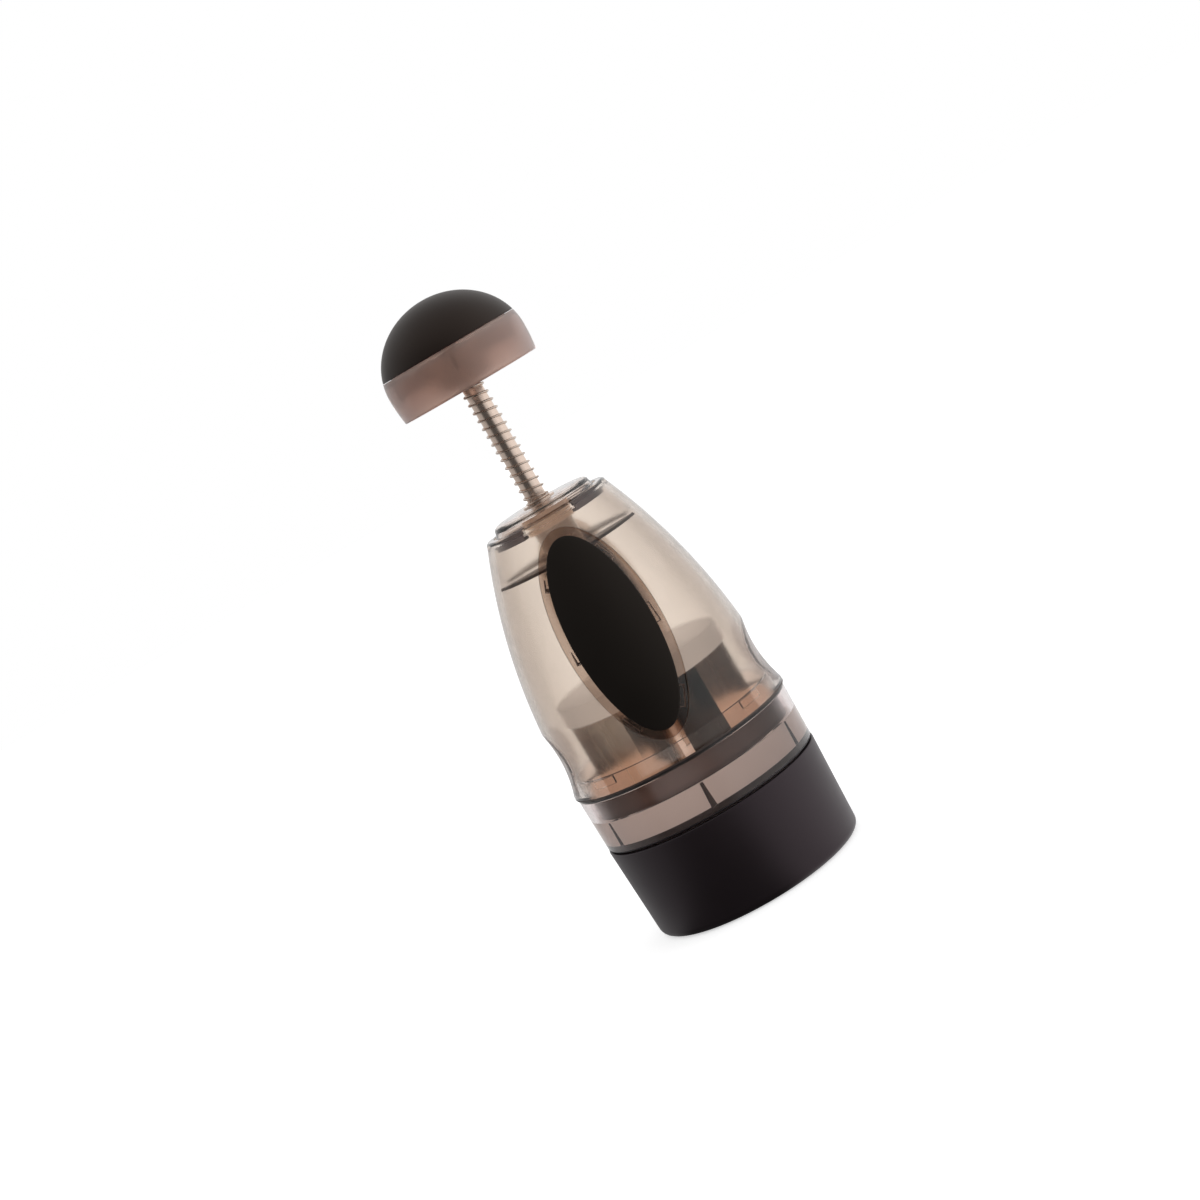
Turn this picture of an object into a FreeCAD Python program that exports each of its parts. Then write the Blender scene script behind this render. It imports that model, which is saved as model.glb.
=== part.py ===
import FreeCAD
import Part
import math
import os

# A hand food chopper with a plunger knob, as an assembly of separate pieces.
# Millimetres, +Z up, origin at the centre of the cup's foot.
# The front grip pad faces -Y, and azimuths are degrees from +X towards +Y.

# Driving dimensions: stack, measured upward from the table
CUP_HEIGHT = 36.5
CHAMBER_BAND_HEIGHT = 22.5
HOUSING_HEIGHT = 95.7
CAP_RISE = 3.7
KNOB_LIFT = 47.5
KNOB_SKIRT_HEIGHT = 16.1
KNOB_DOME_HEIGHT = 18.5
CUP_SEAM = 0.6
SEAM = 0.3
TRAVEL = 32.0
END_GAP = 0.4

# Driving dimensions: fits
SNUG = 0.1
RUNNING = 0.05
LOOSE = 0.3
THRUST = 0.2

# Driving dimensions: base cup
CUP_RIM_INSET = 0.2
CUP_TAPER = 1.4
CUP_CORNER = 3.0
CUP_WALL = 2.0
CUP_FLOOR = 2.2
CUP_FOOT_WIDTH = 5.0

# Driving dimensions: chamber ring and its seal
BAND_TAPER = 0.4
BAND_WALL = 2.3
BAND_EDGE = 0.8
SPIGOT_WALL = 1.8
LEDGE_HEIGHT = 2.8
RIB_COUNT = 6
RIB_THICKNESS = 2.4
RIB_TIP_THICKNESS = 1.2
UPPER_SPIGOT_WALL = 1.3
UPPER_SPIGOT_HEADROOM = 1.0
SEAL_WIDTH = 1.1
SEAL_HEIGHT = 1.0
SEAL_INSET = 0.6
LUG_COUNT = 4
LUG_SWEEP = 14.0
LUG_HEIGHT = 2.8
LUG_DEPTH = 1.1
LUG_FIRST_AZIMUTH = 45.0
LUG_SLACK = 1.0
TWIST = 25.0

# Driving dimensions: housing shell
BARREL_RADIUS = 42.6
BARREL_CURVE = 218.0
BARREL_WIDEST = 7.2
FLARE = 0.6
FLARE_HEIGHT = 3.0
SHELL_WALL = 2.4
SHOULDER_HEIGHT = 1.5
SHOULDER_SETBACK = 1.0
MOUTH_RIM_WIDTH = 3.5
MOUTH_DEPTH = 2.6
LEDGE_RISE = 1.0
LEDGE_THICKNESS = 1.8
LEDGE_REACH = 1.5
LEDGE_LUG_GAP = 2.0
WEB_DROP = 16.5
WEB_THICKNESS = 1.0
WEB_GAP = 3.0
DIMPLE_HEIGHT = 16.7
DIMPLE_DEPTH = 1.8
DIMPLE_SIDE_RADIUS = 76.0
DIMPLE_UPRIGHT_RADIUS = 49.0

# Driving dimensions: grip pads
PAD_BASE_MARGIN = 12.3
PAD_TOP_MARGIN = 9.2
PAD_HALF_WIDTH = 15.1
PAD_RECESS_MARGIN = 3.0
PAD_RECESS_DEPTH = 0.8
PAD_PROUD = 0.8
PAD_EDGE = 0.5
PEG_ANGLES = (46.0, 90.0, 142.0)
PEG_INSET = 1.6
PEG_LENGTH = 5.0
PEG_THICKNESS = 1.2
PEG_BEYOND_WALL = 1.2

# Driving dimensions: top cap
CAP_MOUTH_GAP = 0.6
CAP_SKIRT_LEAN = 1.2
CAP_SHOULDER_WIDTH = 2.8
CAP_SHOULDER_DROP = 1.8
CAP_THICKNESS = 1.8
CAP_LUG_START = 28.0
CAP_LUG_SWEEP = 48.0
CAP_LUG_HEIGHT = 3.2
CAP_LUG_HOOK = 1.4
CAP_HOOK_HEIGHT = 2.0
CAP_BOSS_DEPTH = 8.0
CAP_BOSS_WALL = 1.7
CAP_HOLE_GAP = 0.4

# Driving dimensions: rod, guide and spring
ROD_RADIUS = 3.7
JOURNAL_RADIUS = 3.0
SCREW_RADIUS = 2.0
SCREW_ENGAGEMENT = 9.0
BUSH_WALL = 2.05
BUSH_HEIGHT = 10.6
TUBE_WALL = 1.7
CLIP_THICKNESS = 0.8
CLIP_REACH = 1.6
CLIP_GROOVE_DEPTH = 0.85
CLIP_OPENING = 70.0
WASHER_THICKNESS = 0.5
WASHER_WIDTH = 2.1
WIRE = 0.7
SPRING_ROD_GAP = 0.3
SPRING_POCKET_GAP = 0.7
SPRING_TURNS = 16.75
SPRING_END_BEND = 1.0

# Driving dimensions: knob
KNOB_RADIUS = 27.45
KNOB_WIDEST_HEIGHT = 9.8
KNOB_TUCK = 0.75
KNOB_WALL = 2.2
KNOB_DECK = 2.2
KNOB_SEAM = 0.2
KNOB_BOSS_RADIUS = 10.5
KNOB_BOSS_RECESS = 0.8
KNOB_POCKET_DEPTH = 7.6
KNOB_RIB_COUNT = 6
KNOB_RIB_THICKNESS = 1.4
KNOB_RIB_HEIGHT = 6.0
KNOB_LOCATOR_HEIGHT = 2.0
KNOB_LOCATOR_WALL = 1.6
DOME_CROWN_SHARE = 0.62
DOME_SIDE_SHARE = 0.88
SCREW_HEAD_RADIUS = 4.2
SCREW_HEAD_HEIGHT = 2.2
SCREW_SOCKET_RADIUS = 1.4
SCREW_SOCKET_DEPTH = 1.2

# Driving dimensions: blade head and wiper
CARRIER_WIPER_GAP = 4.3
CARRIER_DISC = 2.0
CARRIER_RIM_HEIGHT = 7.9
CARRIER_RIM_WALL = 1.2
HUB_WALL = 2.15
HUB_RISE = 7.7
RATCHET_WALL = 2.4
RATCHET_BASE = 4.6
TOOTH_COUNT = 12
TOOTH_HEIGHT = 2.0
TOOTH_GAP = 0.5
BLADE_ARMS = 6
BLADE_RIM_GAP = 1.0
BLADE_INNER_RADIUS = 12.0
BLADE_FIRST_AZIMUTH = 5.0
BLADE_THICKNESS = 0.8
BLADE_EDGE_THICKNESS = 0.3
BLADE_EDGE_HEIGHT = 1.0
BLADE_END_TRIM = 3.0
BLADE_TAB_LENGTH = 4.0
BLADE_TAB_RISE = 0.8
WIPER_WALL = 1.6
WIPER_FLOOR = 1.4
WIPER_HEIGHT = 9.2
WIPER_TOP_INSET = 0.2
WIPER_RIB_GAP = 0.3

# Heights above the table that several pieces share
CHAMBER_BASE = CUP_HEIGHT + CUP_SEAM
CHAMBER_TOP = CUP_HEIGHT + CHAMBER_BAND_HEIGHT
HOUSING_BASE = CHAMBER_TOP + SEAM
HOUSING_TOP = HOUSING_BASE + HOUSING_HEIGHT
BARREL_MIDDLE = HOUSING_BASE + BARREL_WIDEST
SHOULDER_BASE = HOUSING_TOP - SHOULDER_HEIGHT
CAP_TOP = HOUSING_TOP + CAP_RISE
MOUTH_BASE = HOUSING_TOP - MOUTH_DEPTH
CAP_SEAT = MOUTH_BASE + LEDGE_RISE
KNOB_BASE = CAP_TOP + KNOB_LIFT
KNOB_SEAM_HEIGHT = KNOB_BASE + KNOB_SKIRT_HEIGHT
KNOB_DECK_TOP = KNOB_SEAM_HEIGHT - KNOB_SEAM
KNOB_DECK_BASE = KNOB_DECK_TOP - KNOB_DECK
KNOB_TOP = KNOB_SEAM_HEIGHT + KNOB_DOME_HEIGHT
POCKET_TOP = KNOB_BASE + KNOB_BOSS_RECESS + KNOB_POCKET_DEPTH

WIPER_TOP = CHAMBER_TOP - WIPER_TOP_INSET
WIPER_BASE = WIPER_TOP - WIPER_HEIGHT
WIPER_FLOOR_TOP = WIPER_BASE + WIPER_FLOOR
RIM_BASE = WIPER_FLOOR_TOP + TRAVEL + END_GAP
DISC_TOP = RIM_BASE + CARRIER_RIM_HEIGHT
DISC_BASE = DISC_TOP - CARRIER_DISC
BLADE_EDGE = WIPER_BASE + LOOSE
FLOOR_TOP = BLADE_EDGE - TRAVEL - END_GAP

SCREW_HEAD_BASE = RIM_BASE + SNUG
WASHER_BASE = SCREW_HEAD_BASE + SCREW_HEAD_HEIGHT
ROD_BASE = WASHER_BASE + CLIP_THICKNESS
HUB_BASE = ROD_BASE + THRUST
HUB_TOP = DISC_TOP + HUB_RISE
ROD_SHOULDER = HUB_TOP + LOOSE
RATCHET_TIP = DISC_TOP + RATCHET_BASE + TOOTH_HEIGHT
TUBE_TIP = RATCHET_TIP + TOOTH_GAP
CAP_UNDERSIDE = CAP_TOP - CAP_THICKNESS
TUBE_TOP = CAP_UNDERSIDE - SNUG
BUSH_BASE = TUBE_TOP - BUSH_HEIGHT
CLIP_TOP = BUSH_BASE - LOOSE
ROD_TOP = KNOB_DECK_BASE - SNUG

# Radii that several pieces share
CUP_RIM_RADIUS = BARREL_RADIUS - CUP_RIM_INSET
CUP_BASE_RADIUS = CUP_RIM_RADIUS - CUP_TAPER
BAND_TOP_RADIUS = BARREL_RADIUS
BAND_BASE_RADIUS = BAND_TOP_RADIUS - BAND_TAPER
BUSH_BORE = ROD_RADIUS + RUNNING
BUSH_RADIUS = BUSH_BORE + BUSH_WALL
TUBE_BORE = BUSH_RADIUS + SNUG
TUBE_RADIUS = TUBE_BORE + TUBE_WALL
HUB_BORE = JOURNAL_RADIUS + RUNNING
HUB_RADIUS = HUB_BORE + HUB_WALL
SPIGOT_BORE = BARREL_RADIUS - SHELL_WALL
UPPER_SPIGOT_RADIUS = SPIGOT_BORE - LOOSE
UPPER_SPIGOT_INNER = UPPER_SPIGOT_RADIUS - UPPER_SPIGOT_WALL
BAND_INNER_RADIUS = BAND_BASE_RADIUS - BAND_WALL
WIPER_RADIUS = UPPER_SPIGOT_INNER - LOOSE
CARRIER_RADIUS = WIPER_RADIUS - WIPER_WALL - CARRIER_WIPER_GAP
BLADE_OUTER_RADIUS = CARRIER_RADIUS - CARRIER_RIM_WALL - BLADE_RIM_GAP
SPRING_RADIUS = ROD_RADIUS + SPRING_ROD_GAP + WIRE / 2
POCKET_RADIUS = SPRING_RADIUS + WIRE / 2 + SPRING_POCKET_GAP
KNOB_EDGE_RADIUS = KNOB_RADIUS - KNOB_TUCK
TAP_RADIUS = SCREW_RADIUS + RUNNING
ARC_MIDDLE = 1 - math.sqrt(0.5)
FAR = 200.0
FRONT = 270.0
REAR = 90.0

UP = FreeCAD.Vector(0, 0, 1)
ORIGIN = FreeCAD.Vector(0, 0, 0)


def point(x, y, z):
    return FreeCAD.Vector(x, y, z)


def outline(start, *steps):
    """Closed wire in the XZ plane. A step is an end point, or a (middle, end) pair for an arc."""
    edges = []
    here = point(start[0], 0, start[1])
    first = here
    for step in steps:
        if isinstance(step[0], tuple):
            middle = point(step[0][0], 0, step[0][1])
            end = point(step[1][0], 0, step[1][1])
            edges.append(Part.Arc(here, middle, end).toShape())
        else:
            end = point(step[0], 0, step[1])
            edges.append(Part.LineSegment(here, end).toShape())
        here = end
    if here.distanceToPoint(first) > 1e-6:
        edges.append(Part.LineSegment(here, first).toShape())
    return Part.Wire(edges)


def turned(start, *steps):
    return Part.Face(outline(start, *steps)).revolve(ORIGIN, UP, 360)


def disc(radius, bottom, top):
    return Part.makeCylinder(radius, top - bottom, point(0, 0, bottom))


def ring(inner, outer, bottom, top):
    return disc(outer, bottom, top).cut(disc(inner, bottom - 1, top + 1))


def sector(inner, outer, bottom, top, start, sweep):
    """Part of a ring, from azimuth start through sweep degrees."""
    wedge = Part.makeCylinder(outer, top - bottom, point(0, 0, bottom), UP, sweep)
    wedge = wedge.cut(disc(inner, bottom - 1, top + 1))
    return at_azimuth(wedge, start)


def at_azimuth(shape, degrees):
    """A copy of a shape made along +X, turned to an azimuth."""
    copy = shape.copy()
    copy.rotate(ORIGIN, UP, degrees)
    return copy


def block(x0, x1, y0, y1, z0, z1):
    return Part.makeBox(x1 - x0, y1 - y0, z1 - z0, point(x0, y0, z0))


def fused(shapes):
    first = shapes[0]
    whole = first.multiFuse(shapes[1:]) if len(shapes) > 1 else first
    return whole.removeSplitter()


def taper(z, z0, r0, z1, r1):
    return r0 + (r1 - r0) * (z - z0) / (z1 - z0)


# Base cup: black opaque bowl with a raised floor on a foot ring
def cup_outer_radius(z):
    return taper(z, CUP_CORNER, CUP_BASE_RADIUS, CUP_HEIGHT, CUP_RIM_RADIUS)


def cup_inner_radius(z):
    return cup_outer_radius(z) - CUP_WALL


FOOT_RADIUS = CUP_BASE_RADIUS - CUP_FOOT_WIDTH
RIM_ROUND = CUP_WALL / 4


def base_cup():
    corner = CUP_CORNER * ARC_MIDDLE
    underside = FLOOR_TOP - CUP_FLOOR
    return turned(
        (0, underside),
        (FOOT_RADIUS, underside),
        (FOOT_RADIUS, 0),
        (CUP_BASE_RADIUS - CUP_CORNER, 0),
        ((CUP_BASE_RADIUS - corner, corner), (CUP_BASE_RADIUS, CUP_CORNER)),
        (cup_outer_radius(CUP_HEIGHT - RIM_ROUND), CUP_HEIGHT - RIM_ROUND),
        (CUP_RIM_RADIUS - RIM_ROUND, CUP_HEIGHT),
        (cup_inner_radius(CUP_HEIGHT), CUP_HEIGHT),
        (cup_inner_radius(FLOOR_TOP), FLOOR_TOP),
        (0, FLOOR_TOP),
    )


# Chamber ring: smoked band between cup and housing, with a spigot at each end
SPIGOT_RADIUS = cup_inner_radius(FLOOR_TOP) - LOOSE
SPIGOT_BASE = FLOOR_TOP + LOOSE
LEDGE_TOP = CHAMBER_BASE + LEDGE_HEIGHT
RIB_TOP = WIPER_BASE - WIPER_RIB_GAP
SEAL_OUTER = BAND_TOP_RADIUS - SEAL_INSET
SEAL_INNER = SEAL_OUTER - SEAL_WIDTH
SEAL_BASE = HOUSING_BASE - SNUG - SEAL_HEIGHT
UPPER_SPIGOT_TOP = BARREL_MIDDLE - UPPER_SPIGOT_HEADROOM
LUG_TOP = UPPER_SPIGOT_TOP - SNUG
LUG_RADIUS = UPPER_SPIGOT_RADIUS + LUG_DEPTH


def chamber_rib():
    """Upright rib on the ledge, narrower towards its top, made along +X."""
    inner = WIPER_RADIUS - WIPER_WALL
    root = LEDGE_TOP - LEDGE_HEIGHT / 4
    foot = RIB_THICKNESS / 2
    tip = RIB_TIP_THICKNESS / 2
    profile = Part.makePolygon([
        point(inner, -foot, root),
        point(inner, foot, root),
        point(inner, tip, RIB_TOP),
        point(inner, -tip, RIB_TOP),
        point(inner, -foot, root),
    ])
    return Part.Face(profile).extrude(point(BAND_INNER_RADIUS + BAND_WALL / 2 - inner, 0, 0))


def chamber_ring():
    spigot_inner = SPIGOT_RADIUS - SPIGOT_WALL
    edge = BAND_EDGE * ARC_MIDDLE
    body = turned(
        (spigot_inner, SPIGOT_BASE),
        (SPIGOT_RADIUS, SPIGOT_BASE),
        (SPIGOT_RADIUS, CHAMBER_BASE),
        (BAND_BASE_RADIUS - BAND_EDGE, CHAMBER_BASE),
        ((BAND_BASE_RADIUS - edge, CHAMBER_BASE + edge),
         (BAND_BASE_RADIUS, CHAMBER_BASE + BAND_EDGE)),
        (BAND_TOP_RADIUS, CHAMBER_TOP),
        (UPPER_SPIGOT_RADIUS, CHAMBER_TOP),
        (UPPER_SPIGOT_RADIUS, UPPER_SPIGOT_TOP),
        (UPPER_SPIGOT_INNER, UPPER_SPIGOT_TOP),
        (UPPER_SPIGOT_INNER, CHAMBER_TOP),
        (BAND_INNER_RADIUS, CHAMBER_TOP - UPPER_SPIGOT_WALL),
        (BAND_INNER_RADIUS, LEDGE_TOP),
        (spigot_inner, LEDGE_TOP),
    )
    extras = [body]
    for number in range(RIB_COUNT):
        extras.append(at_azimuth(chamber_rib(), FRONT + number * 360 / RIB_COUNT))
    lug = sector(UPPER_SPIGOT_RADIUS - UPPER_SPIGOT_WALL / 2, LUG_RADIUS, LUG_TOP - LUG_HEIGHT,
                 LUG_TOP, -LUG_SWEEP / 2, LUG_SWEEP)
    for number in range(LUG_COUNT):
        extras.append(at_azimuth(lug, LUG_FIRST_AZIMUTH + number * 360 / LUG_COUNT))
    groove = ring(SEAL_INNER - SNUG, SEAL_OUTER + SNUG, SEAL_BASE, CHAMBER_TOP + 1)
    groove = groove.cut(disc(UPPER_SPIGOT_RADIUS, 0, FAR))
    return fused(extras).cut(groove)


def chamber_seal():
    return ring(SEAL_INNER, SEAL_OUTER, SEAL_BASE, SEAL_BASE + SEAL_HEIGHT)


# Housing shell: smoked barrel, an upright arc turned about the axis
def barrel_radius(z, offset=0.0):
    curve = BARREL_CURVE + offset
    return BARREL_RADIUS - BARREL_CURVE + math.sqrt(curve ** 2 - (z - BARREL_MIDDLE) ** 2)


MOUTH_RADIUS = barrel_radius(SHOULDER_BASE) - MOUTH_RIM_WIDTH
CAP_SKIRT_RADIUS = MOUTH_RADIUS - CAP_MOUTH_GAP


def barrel_arc(bottom, top, offset=0.0):
    middle = (bottom + top) / 2
    return ((barrel_radius(middle, offset), middle), (barrel_radius(top, offset), top))


def barrel(offset, bottom, top):
    """Solid inside the barrel's curve, moved outward by offset."""
    return turned(
        (0, bottom),
        (barrel_radius(bottom, offset), bottom),
        barrel_arc(bottom, top, offset),
        (0, top),
    )


def dimple_tool(growth):
    """Ring whose inner face is the hollow for a finger on the +X side."""
    height = HOUSING_BASE + DIMPLE_HEIGHT
    deepest = barrel_radius(height) - DIMPLE_DEPTH
    axis = point(deepest - DIMPLE_SIDE_RADIUS, 0, height)
    sweep_radius = DIMPLE_SIDE_RADIUS + DIMPLE_UPRIGHT_RADIUS
    return Part.makeTorus(sweep_radius, DIMPLE_UPRIGHT_RADIUS + growth, axis, UP)


def both_sides(shape):
    return [shape, at_azimuth(shape, 180)]


def shell_body():
    shoulder = barrel_radius(SHOULDER_BASE)
    bend = ((shoulder - SHOULDER_SETBACK * ARC_MIDDLE, HOUSING_TOP - SHOULDER_HEIGHT * ARC_MIDDLE),
            (shoulder - SHOULDER_SETBACK, HOUSING_TOP))
    outer = turned(
        (0, HOUSING_BASE),
        (BARREL_RADIUS + FLARE, HOUSING_BASE),
        (BARREL_RADIUS + FLARE, HOUSING_BASE + FLARE_HEIGHT),
        (BARREL_RADIUS, BARREL_MIDDLE),
        barrel_arc(BARREL_MIDDLE, SHOULDER_BASE),
        bend,
        (0, HOUSING_TOP),
    )
    inner = barrel(-SHELL_WALL, BARREL_MIDDLE, MOUTH_BASE)
    for tool in both_sides(dimple_tool(0)):
        outer = outer.cut(tool)
    for tool in both_sides(dimple_tool(SHELL_WALL)):
        inner = inner.cut(tool)
    shell = outer.cut(inner)
    shell = shell.cut(disc(SPIGOT_BORE, HOUSING_BASE - 1, BARREL_MIDDLE))
    return shell.cut(disc(MOUTH_RADIUS, MOUTH_BASE - 1, HOUSING_TOP + 1))


def cap_ledges():
    """Blocks inside the mouth that the top cap rests on, between its lugs."""
    free = 90 - CAP_LUG_START - CAP_LUG_SWEEP
    parts = []
    for middle, half in ((FRONT, CAP_LUG_START), (REAR, CAP_LUG_START), (0, free), (180, free)):
        reach = half - LEDGE_LUG_GAP
        outer = barrel_radius(CAP_SEAT) - SHELL_WALL / 2
        parts.append(sector(CAP_SKIRT_RADIUS - LEDGE_REACH, outer, CAP_SEAT - LEDGE_THICKNESS,
                            CAP_SEAT, middle - reach, 2 * reach))
    return parts


def webs():
    """Flat stiffening shelves inside the wall, above the middle of each pad."""
    height = HOUSING_TOP - WEB_DROP
    slab = barrel(-SHELL_WALL / 2, height - WEB_THICKNESS / 2, height + WEB_THICKNESS / 2)
    keep = block(-FAR, FAR, -FAR, -TUBE_RADIUS - WEB_GAP, 0, FAR)
    front = slab.common(keep)
    return both_sides(front)


def bayonet_pockets():
    """Grooves in the bore for the chamber's lugs: a run to turn along and an open way in."""
    outer = LUG_RADIUS + LOOSE
    low = LUG_TOP - LUG_HEIGHT - LOOSE
    high = LUG_TOP + LOOSE
    width = LUG_SWEEP + 2 * LUG_SLACK
    pockets = []
    for number in range(LUG_COUNT):
        middle = LUG_FIRST_AZIMUTH + number * 360 / LUG_COUNT
        start = middle - width / 2 - TWIST
        inner = SPIGOT_BORE - 1
        pockets.append(sector(inner, outer, low, high, start, width + TWIST))
        pockets.append(sector(inner, outer, HOUSING_BASE - 1, high, start, width))
    return pockets


def housing_shell():
    shell = fused([shell_body()] + cap_ledges() + webs())
    for pocket in bayonet_pockets():
        shell = shell.cut(pocket)
    recess = pad_prism(PAD_RECESS_MARGIN).cut(barrel(-PAD_RECESS_DEPTH, BARREL_MIDDLE, SHOULDER_BASE))
    for tool in both_sides(recess):
        shell = shell.cut(tool)
    for tool in pad_pegs(SNUG):
        for side in both_sides(tool):
            shell = shell.cut(side)
    return shell


# Grip pads: raised black ovals held by pegs through slots in the shell
PAD_HALF_HEIGHT = (HOUSING_HEIGHT - PAD_BASE_MARGIN - PAD_TOP_MARGIN) / 2
PAD_CENTRE = HOUSING_BASE + PAD_BASE_MARGIN + PAD_HALF_HEIGHT


def pad_prism(margin):
    """Oval column towards the front, larger than the pad by margin all round."""
    centre = point(0, 0, PAD_CENTRE)
    tall = point(0, 0, PAD_CENTRE + PAD_HALF_HEIGHT + margin)
    wide = point(PAD_HALF_WIDTH + margin, 0, PAD_CENTRE)
    oval = Part.Wire([Part.Ellipse(tall, wide, centre).toShape()])
    return Part.Face(oval).extrude(point(0, -FAR, 0))


def pad_pegs(growth):
    """Flat pegs behind the pad's rim, at angles from its top, mirrored left and right."""
    pegs = []
    for angle in PEG_ANGLES:
        turn = math.radians(angle)
        x = (PAD_HALF_WIDTH - PEG_INSET) * math.sin(turn)
        z = PAD_CENTRE + (PAD_HALF_HEIGHT - PEG_INSET) * math.cos(turn)
        along_x = PAD_HALF_WIDTH * math.cos(turn)
        along_z = -PAD_HALF_HEIGHT * math.sin(turn)
        tilt = math.degrees(math.atan2(along_x, along_z))
        outer_y = -math.sqrt(barrel_radius(z, 0) ** 2 - x ** 2)
        inner_y = -math.sqrt(barrel_radius(z, -SHELL_WALL) ** 2 - x ** 2) + PEG_BEYOND_WALL
        half_t = PEG_THICKNESS / 2 + growth
        half_l = PEG_LENGTH / 2 + growth
        for side in (1, -1):
            peg = block(-half_t, half_t, outer_y, inner_y, -half_l, half_l)
            peg.rotate(ORIGIN, point(0, 1, 0), side * tilt)
            peg.translate(point(side * x, 0, z))
            pegs.append(peg)
    return pegs


def front_grip_pad():
    outer = barrel(PAD_PROUD, BARREL_MIDDLE, SHOULDER_BASE)
    inner = barrel(-PAD_RECESS_DEPTH, BARREL_MIDDLE, SHOULDER_BASE)
    pad = pad_prism(0).common(outer).cut(inner)
    rim = [edge for edge in pad.Edges if is_outer_rim(edge)]
    pad = pad.makeFillet(min(PAD_EDGE, 0.4 * (PAD_PROUD + PAD_RECESS_DEPTH)), rim)
    return fused([pad] + pad_pegs(0))


def is_outer_rim(edge):
    """True for the pad's front outline, which lies on the proud surface."""
    first, last = edge.ParameterRange
    for share in (0.1, 0.5, 0.9):
        spot = edge.valueAt(first + share * (last - first))
        if abs(math.hypot(spot.x, spot.y) - barrel_radius(spot.z, PAD_PROUD)) > 0.05:
            return False
    return True


def rear_grip_pad():
    return at_azimuth(front_grip_pad(), 180)


# Top cap: smoked lid in the housing's mouth, hooked under it by four lugs
CAP_SHOULDER_RADIUS = CAP_SKIRT_RADIUS - CAP_SKIRT_LEAN
CAP_TOP_RADIUS = CAP_SHOULDER_RADIUS - CAP_SHOULDER_WIDTH
CAP_HOLE = ROD_RADIUS + CAP_HOLE_GAP
BOSS_INNER = TUBE_RADIUS + SNUG
BOSS_OUTER = BOSS_INNER + CAP_BOSS_WALL


def top_cap():
    shoulder = CAP_TOP - CAP_SHOULDER_DROP
    bend = ((CAP_SHOULDER_RADIUS - CAP_SHOULDER_WIDTH * ARC_MIDDLE,
             CAP_TOP - CAP_SHOULDER_DROP * ARC_MIDDLE),
            (CAP_SHOULDER_RADIUS, shoulder))
    body = turned(
        (CAP_HOLE, CAP_TOP),
        (CAP_TOP_RADIUS, CAP_TOP),
        bend,
        (CAP_SKIRT_RADIUS, CAP_SEAT),
        (CAP_SKIRT_RADIUS - CAP_THICKNESS, CAP_SEAT),
        (CAP_SHOULDER_RADIUS - CAP_THICKNESS, shoulder - CAP_THICKNESS / 2),
        (CAP_TOP_RADIUS - CAP_THICKNESS / 2, CAP_UNDERSIDE),
        (BOSS_OUTER, CAP_UNDERSIDE),
        (BOSS_OUTER, CAP_UNDERSIDE - CAP_BOSS_DEPTH),
        (BOSS_INNER, CAP_UNDERSIDE - CAP_BOSS_DEPTH),
        (BOSS_INNER, CAP_UNDERSIDE),
        (CAP_HOLE, CAP_UNDERSIDE),
    )
    inner = CAP_SKIRT_RADIUS - CAP_THICKNESS
    lug_base = CAP_SEAT - CAP_LUG_HEIGHT
    parts = [body]
    for middle in (FRONT, REAR):
        for start in (CAP_LUG_START, -CAP_LUG_START - CAP_LUG_SWEEP):
            parts.append(sector(inner, CAP_SKIRT_RADIUS, lug_base, CAP_SEAT,
                                middle + start, CAP_LUG_SWEEP))
            parts.append(sector(inner, CAP_SKIRT_RADIUS + CAP_LUG_HOOK, lug_base,
                                lug_base + CAP_HOOK_HEIGHT, middle + start, CAP_LUG_SWEEP))
    return fused(parts)


# Guide parts: bush for the rod, and the tube with the fixed ratchet teeth
def guide_bush():
    return ring(BUSH_BORE, BUSH_RADIUS, BUSH_BASE, TUBE_TOP)


def saw_teeth(inner, outer, root, height, upward):
    """Crown of saw teeth: each is a wedge that climbs along the ring and ends in an upright face."""
    pitch = 360 / TOOTH_COUNT
    half_chord = outer * math.tan(math.radians(pitch / 2))
    sign = 1 if upward else -1
    profile = Part.makePolygon([
        point(0, -half_chord, root),
        point(0, half_chord, root + sign * height),
        point(0, half_chord, root - sign * height / 4),
        point(0, -half_chord, root - sign * height / 4),
        point(0, -half_chord, root),
    ])
    wedge = Part.Face(profile).extrude(point(outer + 1, 0, 0))
    low = min(root, root + sign * height) - height
    high = max(root, root + sign * height) + height
    cell = sector(inner, outer, low, high, -pitch / 2, pitch)
    tooth = wedge.common(cell)
    return [at_azimuth(tooth, number * pitch) for number in range(TOOTH_COUNT)]


def guide_tube():
    root = TUBE_TIP + TOOTH_HEIGHT
    body = ring(TUBE_BORE, TUBE_RADIUS, root, TUBE_TOP)
    return fused([body] + saw_teeth(TUBE_BORE, TUBE_RADIUS, root, TOOTH_HEIGHT, False))


def spring_washer():
    return ring(CAP_HOLE, CAP_HOLE + WASHER_WIDTH, CAP_TOP, CAP_TOP + WASHER_THICKNESS)


def spring_seat():
    return ring(ROD_RADIUS + SNUG, POCKET_RADIUS - SNUG, POCKET_TOP - WASHER_THICKNESS, POCKET_TOP)


# Return spring: one left-hand helix whose ends bend to stand square on the two seats
SPRING_BASE = CAP_TOP + WASHER_THICKNESS
SPRING_TOP = POCKET_TOP - WASHER_THICKNESS


def helix_frame(turns, climb, start):
    """Place and direction on the left-hand helix after some turns."""
    angle = -2 * math.pi * turns
    place = point(SPRING_RADIUS * math.cos(angle), SPRING_RADIUS * math.sin(angle),
                  start + climb * turns)
    way = point(SPRING_RADIUS * math.sin(angle), -SPRING_RADIUS * math.cos(angle),
                climb / (2 * math.pi))
    return place, way.normalize()


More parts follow.
